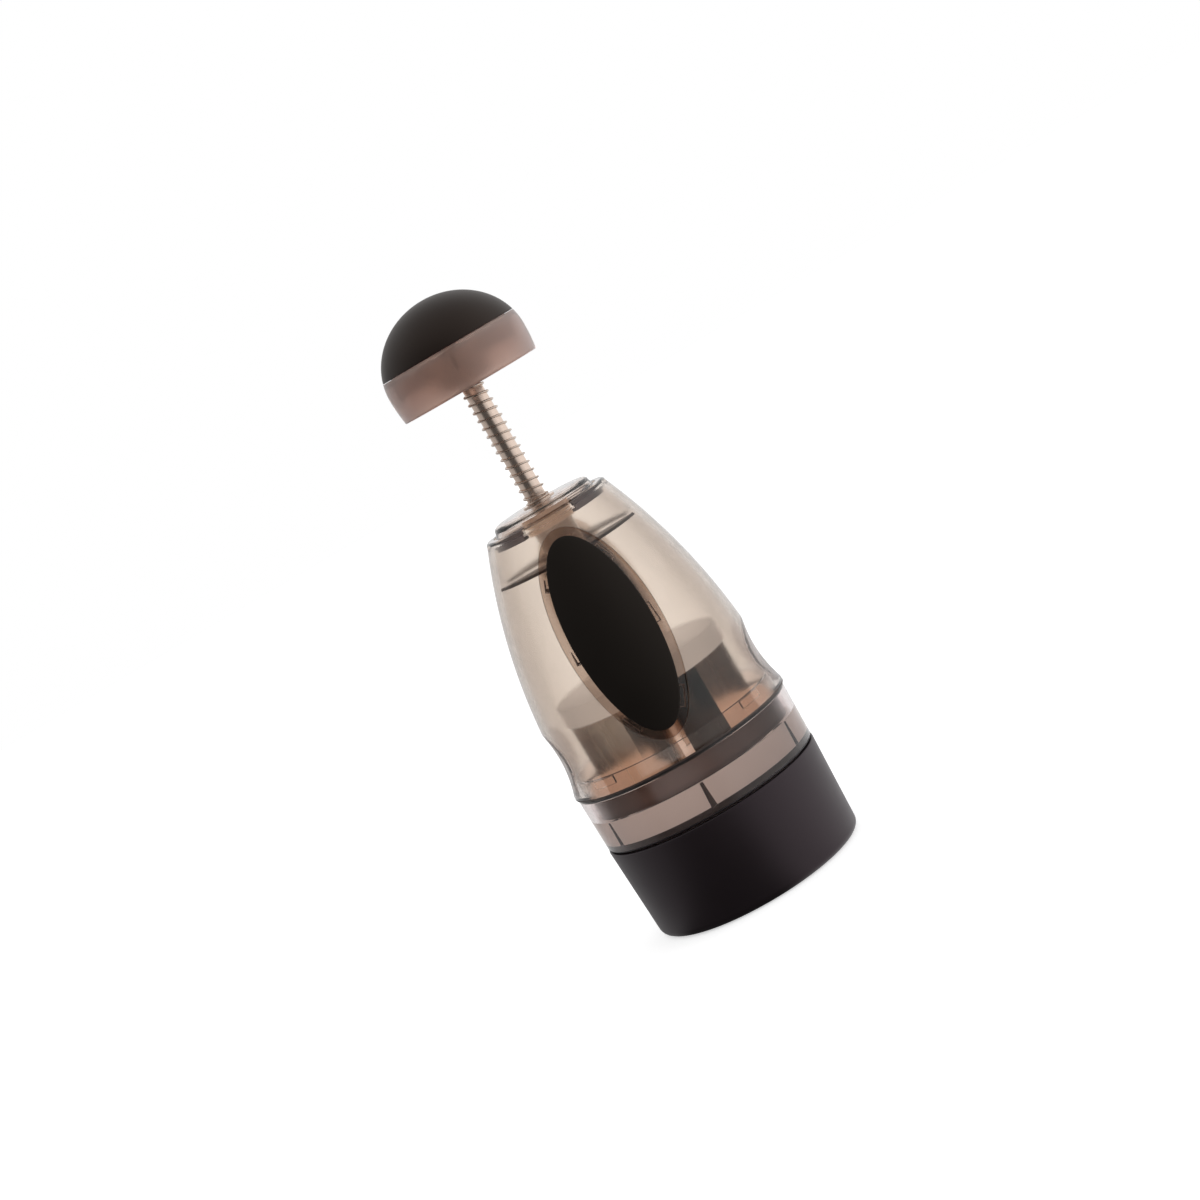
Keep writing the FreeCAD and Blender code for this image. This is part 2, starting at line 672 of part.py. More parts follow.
def arc_from(place, way, end):
    """Arc that leaves place along way and stops at end."""
    chord = end.sub(place)
    length = chord.Length
    half = way.getAngle(chord)
    side = way.sub(point(*chord).multiply(way.dot(chord) / length ** 2))
    sagitta = math.tan(half / 2) * length / 2
    middle = place.add(point(*chord).multiply(0.5)).add(side.normalize().multiply(sagitta))
    return Part.Arc(place, middle, end).toShape()


def biarc(place, way, end, end_way):
    """Two arcs that join both ends along their directions."""
    span = end.sub(place)
    both = way.add(end_way)
    square = 2 * (way.dot(end_way) - 1)
    linear = -2 * span.dot(both)
    reach = span.dot(span)
    root = math.sqrt(linear ** 2 - 4 * square * reach)
    handle = (-linear - root) / (2 * square) if abs(square) > 1e-9 else -reach / linear
    handle = abs(handle)
    first = place.add(point(*way).multiply(handle))
    last = end.sub(point(*end_way).multiply(handle))
    joint = first.add(last).multiply(0.5)
    forward = joint.sub(first).normalize()
    return [arc_from(place, way, joint), arc_from(joint, forward, end)]


def end_bend(place, way, upward):
    """Quarter bend and short straight that carry the wire from the helix square to a seat."""
    goal = UP if upward else point(0, 0, -1)
    leave = point(*way) if upward else point(*way).multiply(-1)
    slope = leave.getAngle(goal)
    flat = leave.sub(point(*goal).multiply(leave.dot(goal))).normalize()
    centre = place.add(square_to(leave, goal).multiply(SPRING_END_BEND))
    stop = centre.add(point(*flat).multiply(SPRING_END_BEND))
    half = slope / 2
    out = point(*flat).multiply(math.cos(half)).sub(point(*goal).multiply(math.sin(half)))
    middle = centre.add(out.multiply(SPRING_END_BEND))
    return middle, stop


def square_to(leave, goal):
    """Unit vector square to leave, in the upright plane, towards goal."""
    return point(*goal).sub(point(*leave).multiply(goal.dot(leave))).normalize()


def spring_path():
    """Edges of the spring's centre line from the lower seat to the upper one."""
    steps = round(SPRING_TURNS * 4)
    slope = 0.0
    for _ in range(20):
        rise = SPRING_END_BEND * (1 - math.sin(slope)) + WIRE
        climb = (SPRING_TOP - SPRING_BASE - 2 * rise) / SPRING_TURNS
        slope = math.atan2(climb, 2 * math.pi * SPRING_RADIUS)
    start = SPRING_BASE + rise
    place, way = helix_frame(0, climb, start)
    middle, stop = end_bend(place, way, False)
    foot = point(stop.x, stop.y, SPRING_BASE)
    edges = [Part.LineSegment(foot, stop).toShape(), Part.Arc(stop, middle, place).toShape()]
    for step in range(steps):
        end, end_way = helix_frame((step + 1) / 4, climb, start)
        edges += biarc(place, way, end, end_way)
        place, way = end, end_way
    middle, stop = end_bend(place, way, True)
    head = point(stop.x, stop.y, SPRING_TOP)
    edges.append(Part.Arc(place, middle, stop).toShape())
    edges.append(Part.LineSegment(stop, head).toShape())
    return edges


def least_self_gap(edges, wire):
    """Least clear distance between stretches of the tube more than half a turn apart."""
    spots = []
    for edge in edges:
        first, last = edge.ParameterRange
        for share in range(6):
            spots.append(edge.valueAt(first + (last - first) * share / 6))
    apart = 4 * 2 * 3
    gap = min(spots[i].distanceToPoint(spots[j])
              for i in range(len(spots)) for j in range(i + apart, min(len(spots), i + 4 * apart)))
    return gap - wire


def return_spring():
    edges = spring_path()
    print("return_spring least gap to itself %.2f mm" % least_self_gap(edges, WIRE))
    path = Part.Wire(edges)
    start = edges[0].valueAt(edges[0].ParameterRange[0])
    section = Part.Wire([Part.Circle(start, UP, WIRE / 2).toShape()])
    return path.makePipeShell([section], True, False)


# Knob: hollow smoked skirt with a boss for rod and spring, under a black dome
KNOB_WIDEST = KNOB_BASE + KNOB_WIDEST_HEIGHT


def dome_radius(z, offset=0.0):
    tall = KNOB_TOP - KNOB_WIDEST + offset
    return (KNOB_RADIUS + offset) * math.sqrt(1 - ((z - KNOB_WIDEST) / tall) ** 2)


def dome_height(radius, offset=0.0):
    tall = KNOB_TOP - KNOB_WIDEST + offset
    return KNOB_WIDEST + tall * math.sqrt(1 - (radius / (KNOB_RADIUS + offset)) ** 2)


def dome_solid(offset):
    """Space under the dome, moved outward by offset: a side arc and a crown arc."""
    low = KNOB_SEAM_HEIGHT
    top = KNOB_TOP + offset
    edge = dome_radius(low, offset)
    crown = edge * DOME_CROWN_SHARE
    middle = edge * DOME_SIDE_SHARE
    drop = top - dome_height(crown, offset)
    ball = (crown ** 2 + drop ** 2) / (2 * drop)
    lean = math.asin(crown / ball) / 2
    halfway = (ball * math.sin(lean), top - ball * (1 - math.cos(lean)))
    return turned(
        (0, low),
        (edge, low),
        ((middle, dome_height(middle, offset)), (crown, top - drop)),
        (halfway, (0, top)),
    )


def knob_cap():
    return dome_solid(0).cut(dome_solid(-KNOB_WALL))


def knob_body():
    top_radius = dome_radius(KNOB_DECK_TOP)
    middle = (KNOB_RADIUS, KNOB_WIDEST)
    inner_edge = KNOB_EDGE_RADIUS - KNOB_WALL
    skirt = turned(
        (0, KNOB_DECK_TOP),
        (top_radius, KNOB_DECK_TOP),
        (middle, (KNOB_EDGE_RADIUS, KNOB_BASE)),
        (inner_edge, KNOB_BASE),
        ((KNOB_RADIUS - KNOB_WALL, KNOB_WIDEST), (top_radius - KNOB_WALL, KNOB_DECK_BASE)),
        (0, KNOB_DECK_BASE),
    )
    boss = disc(KNOB_BOSS_RADIUS, KNOB_BASE + KNOB_BOSS_RECESS, KNOB_DECK_BASE + KNOB_DECK / 2)
    parts = [skirt, boss]
    half = KNOB_RIB_THICKNESS / 2
    rib = block(KNOB_BOSS_RADIUS - KNOB_WALL / 2, KNOB_RADIUS - KNOB_WALL / 2, -half, half,
                KNOB_DECK_BASE - KNOB_RIB_HEIGHT, KNOB_DECK_BASE + KNOB_DECK / 2)
    for number in range(KNOB_RIB_COUNT):
        parts.append(at_azimuth(rib, FRONT + number * 360 / KNOB_RIB_COUNT))
    locator_top = KNOB_SEAM_HEIGHT + KNOB_LOCATOR_HEIGHT
    locator_radius = dome_radius(locator_top, -KNOB_WALL) - LOOSE
    parts.append(ring(locator_radius - KNOB_LOCATOR_WALL, locator_radius,
                      KNOB_DECK_TOP - KNOB_DECK / 2, locator_top))
    body = fused(parts)
    body = body.cut(disc(POCKET_RADIUS, KNOB_BASE, POCKET_TOP))
    body = body.cut(disc(ROD_RADIUS + SNUG, KNOB_BASE, KNOB_DECK_BASE))
    return body.cut(disc(SCREW_RADIUS + 2 * SNUG, KNOB_BASE, KNOB_TOP))


def cap_screw(seat, tip, upward):
    """Socket-head screw whose head bears on seat and whose shank ends at tip."""
    sign = 1 if upward else -1
    head_end = seat + sign * SCREW_HEAD_HEIGHT
    head = disc(SCREW_HEAD_RADIUS, min(seat, head_end), max(seat, head_end))
    socket_end = head_end - sign * SCREW_SOCKET_DEPTH
    past = head_end + sign
    socket = disc(SCREW_SOCKET_RADIUS, min(socket_end, past), max(socket_end, past))
    shank = disc(SCREW_RADIUS, min(seat, tip), max(seat, tip))
    return fused([head, shank]).cut(socket)


def knob_screw():
    return cap_screw(KNOB_DECK_TOP, ROD_TOP - SCREW_ENGAGEMENT, True)


# Plunger rod with its shouldered journal, clip groove and a tapped hole at each end
def plunger_rod():
    rod = fused([disc(ROD_RADIUS, ROD_SHOULDER, ROD_TOP),
                 disc(JOURNAL_RADIUS, ROD_BASE, ROD_TOP)])
    groove = ring(ROD_RADIUS - CLIP_GROOVE_DEPTH, ROD_RADIUS + 1,
                  CLIP_TOP - CLIP_THICKNESS - SNUG, CLIP_TOP + SNUG)
    rod = rod.cut(groove)
    rod = rod.cut(disc(TAP_RADIUS, ROD_BASE - 1, ROD_BASE + SCREW_ENGAGEMENT + 1))
    return rod.cut(disc(TAP_RADIUS, ROD_TOP - SCREW_ENGAGEMENT - 1, ROD_TOP + 1))


def stop_clip():
    inner = ROD_RADIUS - CLIP_GROOVE_DEPTH + RUNNING
    return sector(inner, ROD_RADIUS + CLIP_REACH, CLIP_TOP - CLIP_THICKNESS, CLIP_TOP,
                  CLIP_OPENING / 2, 360 - CLIP_OPENING)


# Blade head: carrier cup, ratchet crown, two folded blades, washer and screw
def blade_corners(half):
    """Fold points of one blade, as (x, y), from near one inner fold to near the opposite one."""
    corners = []
    step = 180 / BLADE_ARMS
    for number in range(BLADE_ARMS + 1):
        azimuth = math.radians(BLADE_FIRST_AZIMUTH - 3 * step + half * 180 + number * step)
        radius = BLADE_OUTER_RADIUS if number % 2 else BLADE_INNER_RADIUS
        corners.append((radius * math.cos(azimuth), radius * math.sin(azimuth)))
    corners[0] = moved_towards(corners[0], corners[1], BLADE_END_TRIM)
    corners[-1] = moved_towards(corners[-1], corners[-2], BLADE_END_TRIM)
    return corners


def moved_towards(start, goal, distance):
    length = math.hypot(goal[0] - start[0], goal[1] - start[1])
    share = distance / length
    return (start[0] + (goal[0] - start[0]) * share, start[1] + (goal[1] - start[1]) * share)


def folded_strip(corners, thickness, bottom, top):
    """Upright strip along the fold points, rounded at every fold and end."""
    pieces = []
    for x, y in corners:
        pieces.append(Part.makeCylinder(thickness / 2, top - bottom, point(x, y, bottom)))
    for start, end in zip(corners, corners[1:]):
        length = math.hypot(end[0] - start[0], end[1] - start[1])
        wall = block(0, length, -thickness / 2, thickness / 2, bottom, top)
        wall.rotate(ORIGIN, UP, math.degrees(math.atan2(end[1] - start[1], end[0] - start[0])))
        wall.translate(point(start[0], start[1], 0))
        pieces.append(wall)
    return fused(pieces)


def blade_tabs(corners, growth, bottom, top):
    """Upright tabs in the middle of every other leg, through the carrier's disc."""
    tabs = []
    half_t = BLADE_THICKNESS / 2 + growth
    half_l = BLADE_TAB_LENGTH / 2 + growth
    for start, end in list(zip(corners, corners[1:]))[::2]:
        tab = block(-half_l, half_l, -half_t, half_t, bottom, top)
        tab.rotate(ORIGIN, UP, math.degrees(math.atan2(end[1] - start[1], end[0] - start[0])))
        tab.translate(point((start[0] + end[0]) / 2, (start[1] + end[1]) / 2, 0))
        tabs.append(tab)
    return tabs


def zigzag_blade(half):
    corners = blade_corners(half)
    parts = [folded_strip(corners, BLADE_THICKNESS, BLADE_EDGE + BLADE_EDGE_HEIGHT, DISC_BASE)]
    parts.append(folded_strip(corners, BLADE_EDGE_THICKNESS, BLADE_EDGE,
                              BLADE_EDGE + 2 * BLADE_EDGE_HEIGHT))
    parts += blade_tabs(corners, 0, DISC_BASE - 1, DISC_TOP + BLADE_TAB_RISE)
    return fused(parts)


def left_zigzag_blade():
    return zigzag_blade(1)


def right_zigzag_blade():
    return zigzag_blade(0)


def blade_carrier():
    body = fused([
        disc(CARRIER_RADIUS, DISC_BASE, DISC_TOP),
        ring(CARRIER_RADIUS - CARRIER_RIM_WALL, CARRIER_RADIUS, RIM_BASE, DISC_TOP),
        disc(HUB_RADIUS, HUB_BASE, HUB_TOP),
    ])
    body = body.cut(disc(HUB_BORE, RIM_BASE, HUB_TOP + 1))
    for half in (0, 1):
        for slot in blade_tabs(blade_corners(half), SNUG, DISC_BASE - 1, DISC_TOP + 1):
            body = body.cut(slot)
    return body


def index_ratchet():
    inner = HUB_RADIUS + SNUG
    outer = inner + RATCHET_WALL
    root = DISC_TOP + RATCHET_BASE
    body = ring(inner, outer, DISC_TOP, root)
    return fused([body] + saw_teeth(inner, outer, root, TOOTH_HEIGHT, True))


def carrier_washer():
    return ring(SCREW_RADIUS + SNUG, HUB_RADIUS, WASHER_BASE, WASHER_BASE + CLIP_THICKNESS)


def carrier_screw():
    return cap_screw(WASHER_BASE, ROD_BASE + SCREW_ENGAGEMENT, False)


# Wiper plate: dish over the chamber's ribs, slotted for the blades
def wiper_plate():
    dish = disc(WIPER_RADIUS, WIPER_BASE, WIPER_TOP)
    dish = dish.cut(disc(WIPER_RADIUS - WIPER_WALL, WIPER_FLOOR_TOP, WIPER_TOP + 1))
    for half in (0, 1):
        slot = folded_strip(blade_corners(half), BLADE_THICKNESS + 2 * LOOSE,
                            WIPER_BASE - 1, WIPER_FLOOR_TOP + 1)
        dish = dish.cut(slot)
    return dish


PIECES = (
    base_cup, chamber_ring, chamber_seal, wiper_plate,
    housing_shell, front_grip_pad, rear_grip_pad, top_cap, guide_bush, guide_tube,
    spring_washer, return_spring, spring_seat,
    knob_body, knob_cap, knob_screw, plunger_rod, stop_clip,
    blade_carrier, index_ratchet, left_zigzag_blade, right_zigzag_blade,
    carrier_washer, carrier_screw,
)

os.makedirs("parts", exist_ok=True)
for piece in PIECES:
    shape = piece()
    solids = len(shape.Solids)
    bounds = shape.BoundBox
    print("%-20s solids %d valid %s z %.2f to %.2f" % (
        piece.__name__, solids, shape.isValid(), bounds.ZMin, bounds.ZMax))
    shape.exportStep("parts/%s.step" % piece.__name__)
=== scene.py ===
import math

import bpy
from mathutils import Matrix, Vector


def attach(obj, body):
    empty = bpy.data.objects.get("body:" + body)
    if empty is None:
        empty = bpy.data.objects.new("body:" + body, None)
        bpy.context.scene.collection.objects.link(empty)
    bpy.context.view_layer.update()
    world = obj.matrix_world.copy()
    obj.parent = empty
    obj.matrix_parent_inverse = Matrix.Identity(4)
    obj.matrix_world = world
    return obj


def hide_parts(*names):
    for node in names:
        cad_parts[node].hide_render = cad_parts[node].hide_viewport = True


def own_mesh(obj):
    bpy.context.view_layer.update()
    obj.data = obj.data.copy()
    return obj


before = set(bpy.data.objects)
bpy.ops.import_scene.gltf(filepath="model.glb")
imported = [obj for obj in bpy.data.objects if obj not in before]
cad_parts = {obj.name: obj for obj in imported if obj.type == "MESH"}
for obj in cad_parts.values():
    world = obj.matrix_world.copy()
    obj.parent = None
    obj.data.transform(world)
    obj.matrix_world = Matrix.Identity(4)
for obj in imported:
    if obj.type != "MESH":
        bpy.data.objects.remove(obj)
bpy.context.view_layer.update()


# Camera: stands nearly a metre in front of the chopper, a little above its knob, and is rolled so that
# the upright chopper leans to the upper left.
MM = 0.001
VIEW_TURN = math.radians(1.5)
VIEW_DIP = math.radians(6.504)
VIEW_ROLL = math.radians(-30.5)
VIEW_PLACE = Vector((0.9, -895.75, 219.2)) * MM

bpy.ops.object.select_all(action="DESELECT")
bpy.ops.object.camera_add()
camera = bpy.context.object
camera.name = "camera"
camera.data.lens = 75.48
camera.data.clip_start = 0.01
around = Matrix.Rotation(VIEW_TURN, 4, "Z")
tilt = Matrix.Rotation(math.pi / 2 - VIEW_DIP, 4, "X") @ Matrix.Rotation(VIEW_ROLL, 4, "Z")
camera.matrix_world = Matrix.Translation(around @ VIEW_PLACE) @ around @ tilt
bpy.context.scene.camera = camera
bpy.context.scene.view_settings.view_transform = "Standard"


# Studio: white walls behind the chopper and dark towards the camera, most of all to its left, with two
# soft panel lamps and a pale table.
def shader_nodes(tree):
    """Empties a node tree and returns functions that add a node and a link."""
    tree.nodes.clear()

    def add(kind, **settings):
        node = tree.nodes.new(kind)
        for key, value in settings.items():
            setattr(node, key, value)
        return node

    def link(output, goal):
        tree.links.new(output, goal)

    return add, link


def effect(name, inputs, outputs):
    """A shader node group with named inputs (name, kind, value) and outputs (name, kind)."""
    group = bpy.data.node_groups.new(name, "ShaderNodeTree")
    for label, kind, value in inputs:
        socket = group.interface.new_socket(label, in_out="INPUT", socket_type=kind)
        if value is not None:
            socket.default_value = value
    for label, kind in outputs:
        group.interface.new_socket(label, in_out="OUTPUT", socket_type=kind)
    add, link = shader_nodes(group)
    return group, add, link, add("NodeGroupInput"), add("NodeGroupOutput")


# room_light: how bright the studio is each way, from the angle about the upright axis; one ramp for what
# outer surfaces mirror, and one for what is seen through the plastic
MIRRORED = ((-180, 1.0), (-125, 0.55), (-70, 0.45), (-48, 0.09), (4, 0.09), (32, 0.75), (70, 1.0), (180, 1.0))
SEEN_THROUGH = ((-180, 1.0), (-125, 1.0), (-100, 0.0), (-52, 0.0), (-40, 1.0), (-10, 1.0), (25, 0.22),
                (58, 0.22), (72, 0.0), (108, 0.0), (130, 1.0), (180, 1.0))
room_light, add, link, given, made = effect(
    "room_light", [("Vector", "NodeSocketVector", None), ("Through", "NodeSocketFloat", 0.0)],
    [("Strength", "NodeSocketFloat")])
split = add("ShaderNodeSeparateXYZ")
link(given.outputs["Vector"], split.inputs[0])
front = add("ShaderNodeMath", operation="MULTIPLY")
front.inputs[1].default_value = -1.0
link(split.outputs["Y"], front.inputs[0])
angle = add("ShaderNodeMath", operation="ARCTAN2")
link(split.outputs["X"], angle.inputs[0])
link(front.outputs[0], angle.inputs[1])
turn = add("ShaderNodeMapRange")
turn.inputs["From Min"].default_value = -math.pi
turn.inputs["From Max"].default_value = math.pi
link(angle.outputs[0], turn.inputs["Value"])
ramps = []
for stops in (MIRRORED, SEEN_THROUGH):
    ramp = add("ShaderNodeValToRGB")
    ramp.color_ramp.interpolation = "EASE"
    while len(ramp.color_ramp.elements) < len(stops):
        ramp.color_ramp.elements.new(0.5)
    for element, (degrees, level) in zip(ramp.color_ramp.elements, stops):
        element.position = (degrees + 180) / 360
        element.color = (level, level, level, 1)
    link(turn.outputs["Result"], ramp.inputs["Fac"])
    ramps.append(ramp)
level = add("ShaderNodeMix", data_type="RGBA")
link(given.outputs["Through"], level.inputs["Factor"])
link(ramps[0].outputs["Color"], level.inputs["A"])
link(ramps[1].outputs["Color"], level.inputs["B"])
rise = add("ShaderNodeMapRange", interpolation_type="SMOOTHSTEP")
rise.inputs["From Min"].default_value = 0.45
rise.inputs["From Max"].default_value = 0.9
link(split.outputs["Z"], rise.inputs["Value"])
roof = add("ShaderNodeMix", data_type="RGBA")
roof.inputs["B"].default_value = (0.75, 0.75, 0.75, 1)
link(rise.outputs["Result"], roof.inputs["Factor"])
link(level.outputs["Result"], roof.inputs["A"])
link(roof.outputs["Result"], made.inputs["Strength"])


def room_level(add, link, path, way):
    """The group as a node, told which way to look and whether the ray came through plastic."""
    node = add("ShaderNodeGroup")
    node.node_tree = room_light
    link(way, node.inputs["Vector"])
    link(path.outputs["Is Transmission Ray"], node.inputs["Through"])
    return node.outputs["Strength"]


world = bpy.data.worlds.new("studio")
bpy.context.scene.world = world
world.use_nodes = True
add, link = shader_nodes(world.node_tree)
path = add("ShaderNodeLightPath")
room = add("ShaderNodeBackground")
room.inputs["Color"].default_value = (1, 1, 1, 1)
link(room_level(add, link, path, add("ShaderNodeTexCoord").outputs["Generated"]), room.inputs["Strength"])
white = add("ShaderNodeBackground")
white.inputs["Color"].default_value = (1, 1, 1, 1)
seen = add("ShaderNodeMixShader")
link(path.outputs["Is Camera Ray"], seen.inputs["Fac"])
link(room.outputs[0], seen.inputs[1])
link(white.outputs[0], seen.inputs[2])
out = add("ShaderNodeOutputWorld")
link(seen.outputs[0], out.inputs["Surface"])

for lamp_name, spot, width, power in (
    ("lamp_left", (-0.9, 0.3, 1.0), 1.0, 0.6),
    ("lamp_right", (1.0, -0.1, 0.8), 1.0, 0.6),
):
    bpy.ops.object.select_all(action="DESELECT")
    bpy.ops.object.light_add(type="AREA", location=spot)
    lamp = bpy.context.object
    lamp.name = lamp_name
    lamp.data.size = width
    lamp.data.energy = power
    aim = Vector((0, 0, 0.12)) - Vector(spot)
    lamp.rotation_euler = aim.to_track_quat("-Z", "Y").to_euler()

bpy.ops.object.select_all(action="DESELECT")
bpy.ops.mesh.primitive_plane_add(size=8, location=(0, 0, -0.0002))
table = bpy.context.object
table.name = "table"
paint = bpy.data.materials.new("table_white")
paint.use_nodes = True
add, link = shader_nodes(paint.node_tree)
path = add("ShaderNodeLightPath")
flat = add("ShaderNodeVectorMath", operation="NORMALIZE")
link(add("ShaderNodeTexCoord").outputs["Object"], flat.inputs[0])
far = add("ShaderNodeEmission")
link(room_level(add, link, path, flat.outputs["Vector"]), far.inputs["Strength"])
matt = add("ShaderNodeBsdfDiffuse")
matt.inputs["Color"].default_value = (0.86, 0.86, 0.86, 1)
lift = add("ShaderNodeEmission")
lift.inputs["Strength"].default_value = 0.6
both = add("ShaderNodeAddShader")
link(matt.outputs[0], both.inputs[0])
link(lift.outputs[0], both.inputs[1])
seen = add("ShaderNodeMixShader")
link(path.outputs["Is Camera Ray"], seen.inputs["Fac"])
link(far.outputs[0], seen.inputs[1])
link(both.outputs[0], seen.inputs[2])
out = add("ShaderNodeOutputMaterial")
link(seen.outputs[0], out.inputs["Surface"])
table.data.materials.append(paint)


# Base cup: black satin plastic bowl, injection moulded in one piece, with its floor raised on a foot ring.
# The chamber ring plugs into its rim.
CUP_HEIGHT = 36.5
CUP_RIM_RADIUS = 42.4
CUP_BASE_RADIUS = 41.0
CUP_CORNER = 3.0
CUP_WALL = 2.0
CUP_FLOOR = 17.5
CUP_UNDERSIDE = 15.3
FOOT_RADIUS = 36.0


def alone(piece):
    """Selects one object and nothing else."""
    bpy.ops.object.select_all(action="DESELECT")
    piece.select_set(True)
    bpy.context.view_layer.objects.active = piece


def turned(name, rings, segments=192):
    """A closed turned solid, from one ring drawn on through each (radius, height) in mm; radius 0 closes on the axis."""
    bpy.ops.object.select_all(action="DESELECT")
    radius, height = rings[0]
    bpy.ops.mesh.primitive_circle_add(vertices=segments, radius=radius * MM, location=(0, 0, height * MM))
    piece = bpy.context.object
    piece.name = name
    bpy.ops.object.transform_apply(location=True, rotation=True, scale=True)
    bpy.ops.object.mode_set(mode="EDIT")
    bpy.ops.mesh.select_mode(type="VERT")
    bpy.ops.mesh.select_all(action="SELECT")
    poles = rings[-1][0] == 0
    for next_radius, next_height in rings[1:] + ([] if poles else [rings[0]]):
        rise = (next_height - height) * MM
        bpy.ops.mesh.extrude_region_move(TRANSFORM_OT_translate={"value": (0, 0, rise)})
        if next_radius == 0:
            bpy.ops.mesh.merge(type="CENTER")
        elif next_radius != radius:
            share = next_radius / radius
            bpy.ops.transform.resize(value=(share, share, 1), center_override=(0, 0, next_height * MM))
        radius, height = next_radius, next_height
    bpy.ops.mesh.select_all(action="SELECT")
    bpy.ops.mesh.remove_doubles(threshold=0.002 * MM)
    if poles:
        bpy.ops.mesh.select_all(action="DESELECT")
        bpy.ops.mesh.select_non_manifold()
        bpy.ops.mesh.edge_face_add()
        bpy.ops.mesh.select_all(action="SELECT")
    bpy.ops.mesh.normals_make_consistent(inside=False)
    bpy.ops.object.mode_set(mode="OBJECT")
    return piece


def rounded(piece, width, steps=3, degrees=35):
    """Rounds each edge sharper than an angle, with the Bevel modifier."""
    alone(piece)
    bevel = piece.modifiers.new("edge", "BEVEL")
    bevel.width = width * MM
    bevel.segments = steps
    bevel.limit_method = "ANGLE"
    bevel.angle_limit = math.radians(degrees)
    bevel.miter_outer = "MITER_ARC"
    bpy.ops.object.modifier_apply(modifier=bevel.name)
    return piece


def smooth(piece, degrees=32):
    alone(piece)
    bpy.ops.object.shade_smooth_by_angle(angle=math.radians(degrees))
    return piece


def corner(start, end, bulge, steps=6):
    """Rings of a quarter round from start to end; bulge is the corner point that it rounds."""
    rings = []
    for step in range(steps + 1):
        t = step / steps * math.pi / 2
        u, v = 1 - math.cos(t), math.sin(t)
        radius = start[0] + (bulge[0] - start[0]) * v + (end[0] - bulge[0]) * u
        height = start[1] + (bulge[1] - start[1]) * v + (end[1] - bulge[1]) * u
        rings.append((radius, height))
    return rings


def cup_radius(height):
    share = (height - CUP_CORNER) / (CUP_HEIGHT - CUP_CORNER)
    return CUP_BASE_RADIUS + (CUP_RIM_RADIUS - CUP_BASE_RADIUS) * share


base_cup = turned("base_cup_body", [
    (0.4, CUP_UNDERSIDE),
    (FOOT_RADIUS, CUP_UNDERSIDE),
    (FOOT_RADIUS, 0),
] + corner((CUP_BASE_RADIUS - CUP_CORNER, 0), (CUP_BASE_RADIUS, CUP_CORNER), (CUP_BASE_RADIUS, 0)) + [
    (cup_radius(20), 20),
    (CUP_RIM_RADIUS, CUP_HEIGHT),
    (cup_radius(CUP_HEIGHT) - CUP_WALL, CUP_HEIGHT),
    (cup_radius(CUP_FLOOR) - CUP_WALL, CUP_FLOOR),
    (0, CUP_FLOOR),
])
rounded(base_cup, 0.45)
smooth(base_cup)


# mould_grain: fine speckle of a spark-eroded mould, with a slow cloudiness in its gloss
mould_grain, add, link, given, made = effect(
    "mould_grain",
    [("Vector", "NodeSocketVector", None), ("Fineness", "NodeSocketFloat", 3000.0),
     ("Gloss Low", "NodeSocketFloat", 0.3), ("Gloss High", "NodeSocketFloat", 0.4)],
    [("Height", "NodeSocketFloat"), ("Roughness", "NodeSocketFloat"), ("Cloud", "NodeSocketFloat")])
speckle = add("ShaderNodeTexNoise")
speckle.inputs["Detail"].default_value = 2.0
link(given.outputs["Vector"], speckle.inputs["Vector"])
link(given.outputs["Fineness"], speckle.inputs["Scale"])
link(speckle.outputs["Fac"], made.inputs["Height"])
cloud = add("ShaderNodeTexNoise")
cloud.inputs["Scale"].default_value = 45.0
cloud.inputs["Detail"].default_value = 4.0
link(given.outputs["Vector"], cloud.inputs["Vector"])
link(cloud.outputs["Fac"], made.inputs["Cloud"])
gloss = add("ShaderNodeMapRange")
gloss.inputs["From Min"].default_value = 0.3
gloss.inputs["From Max"].default_value = 0.7
link(cloud.outputs["Fac"], gloss.inputs["Value"])
link(given.outputs["Gloss Low"], gloss.inputs["To Min"])
link(given.outputs["Gloss High"], gloss.inputs["To Max"])
link(gloss.outputs["Result"], made.inputs["Roughness"])


def placed(group, add, values):
    """The group as a node with its own values, fed by object coordinates."""
    node = add("ShaderNodeGroup")
    node.node_tree = group
    for label, value in values.items():
        node.inputs[label].default_value = value
    return node


def new_material(name):
    finish = bpy.data.materials.new(name)
    finish.use_nodes = True
    add, link = shader_nodes(finish.node_tree)
    shader = add("ShaderNodeBsdfPrincipled")
    out = add("ShaderNodeOutputMaterial")
    link(shader.outputs[0], out.inputs["Surface"])
    spot = add("ShaderNodeTexCoord").outputs["Object"]
    return finish, add, link, shader, spot


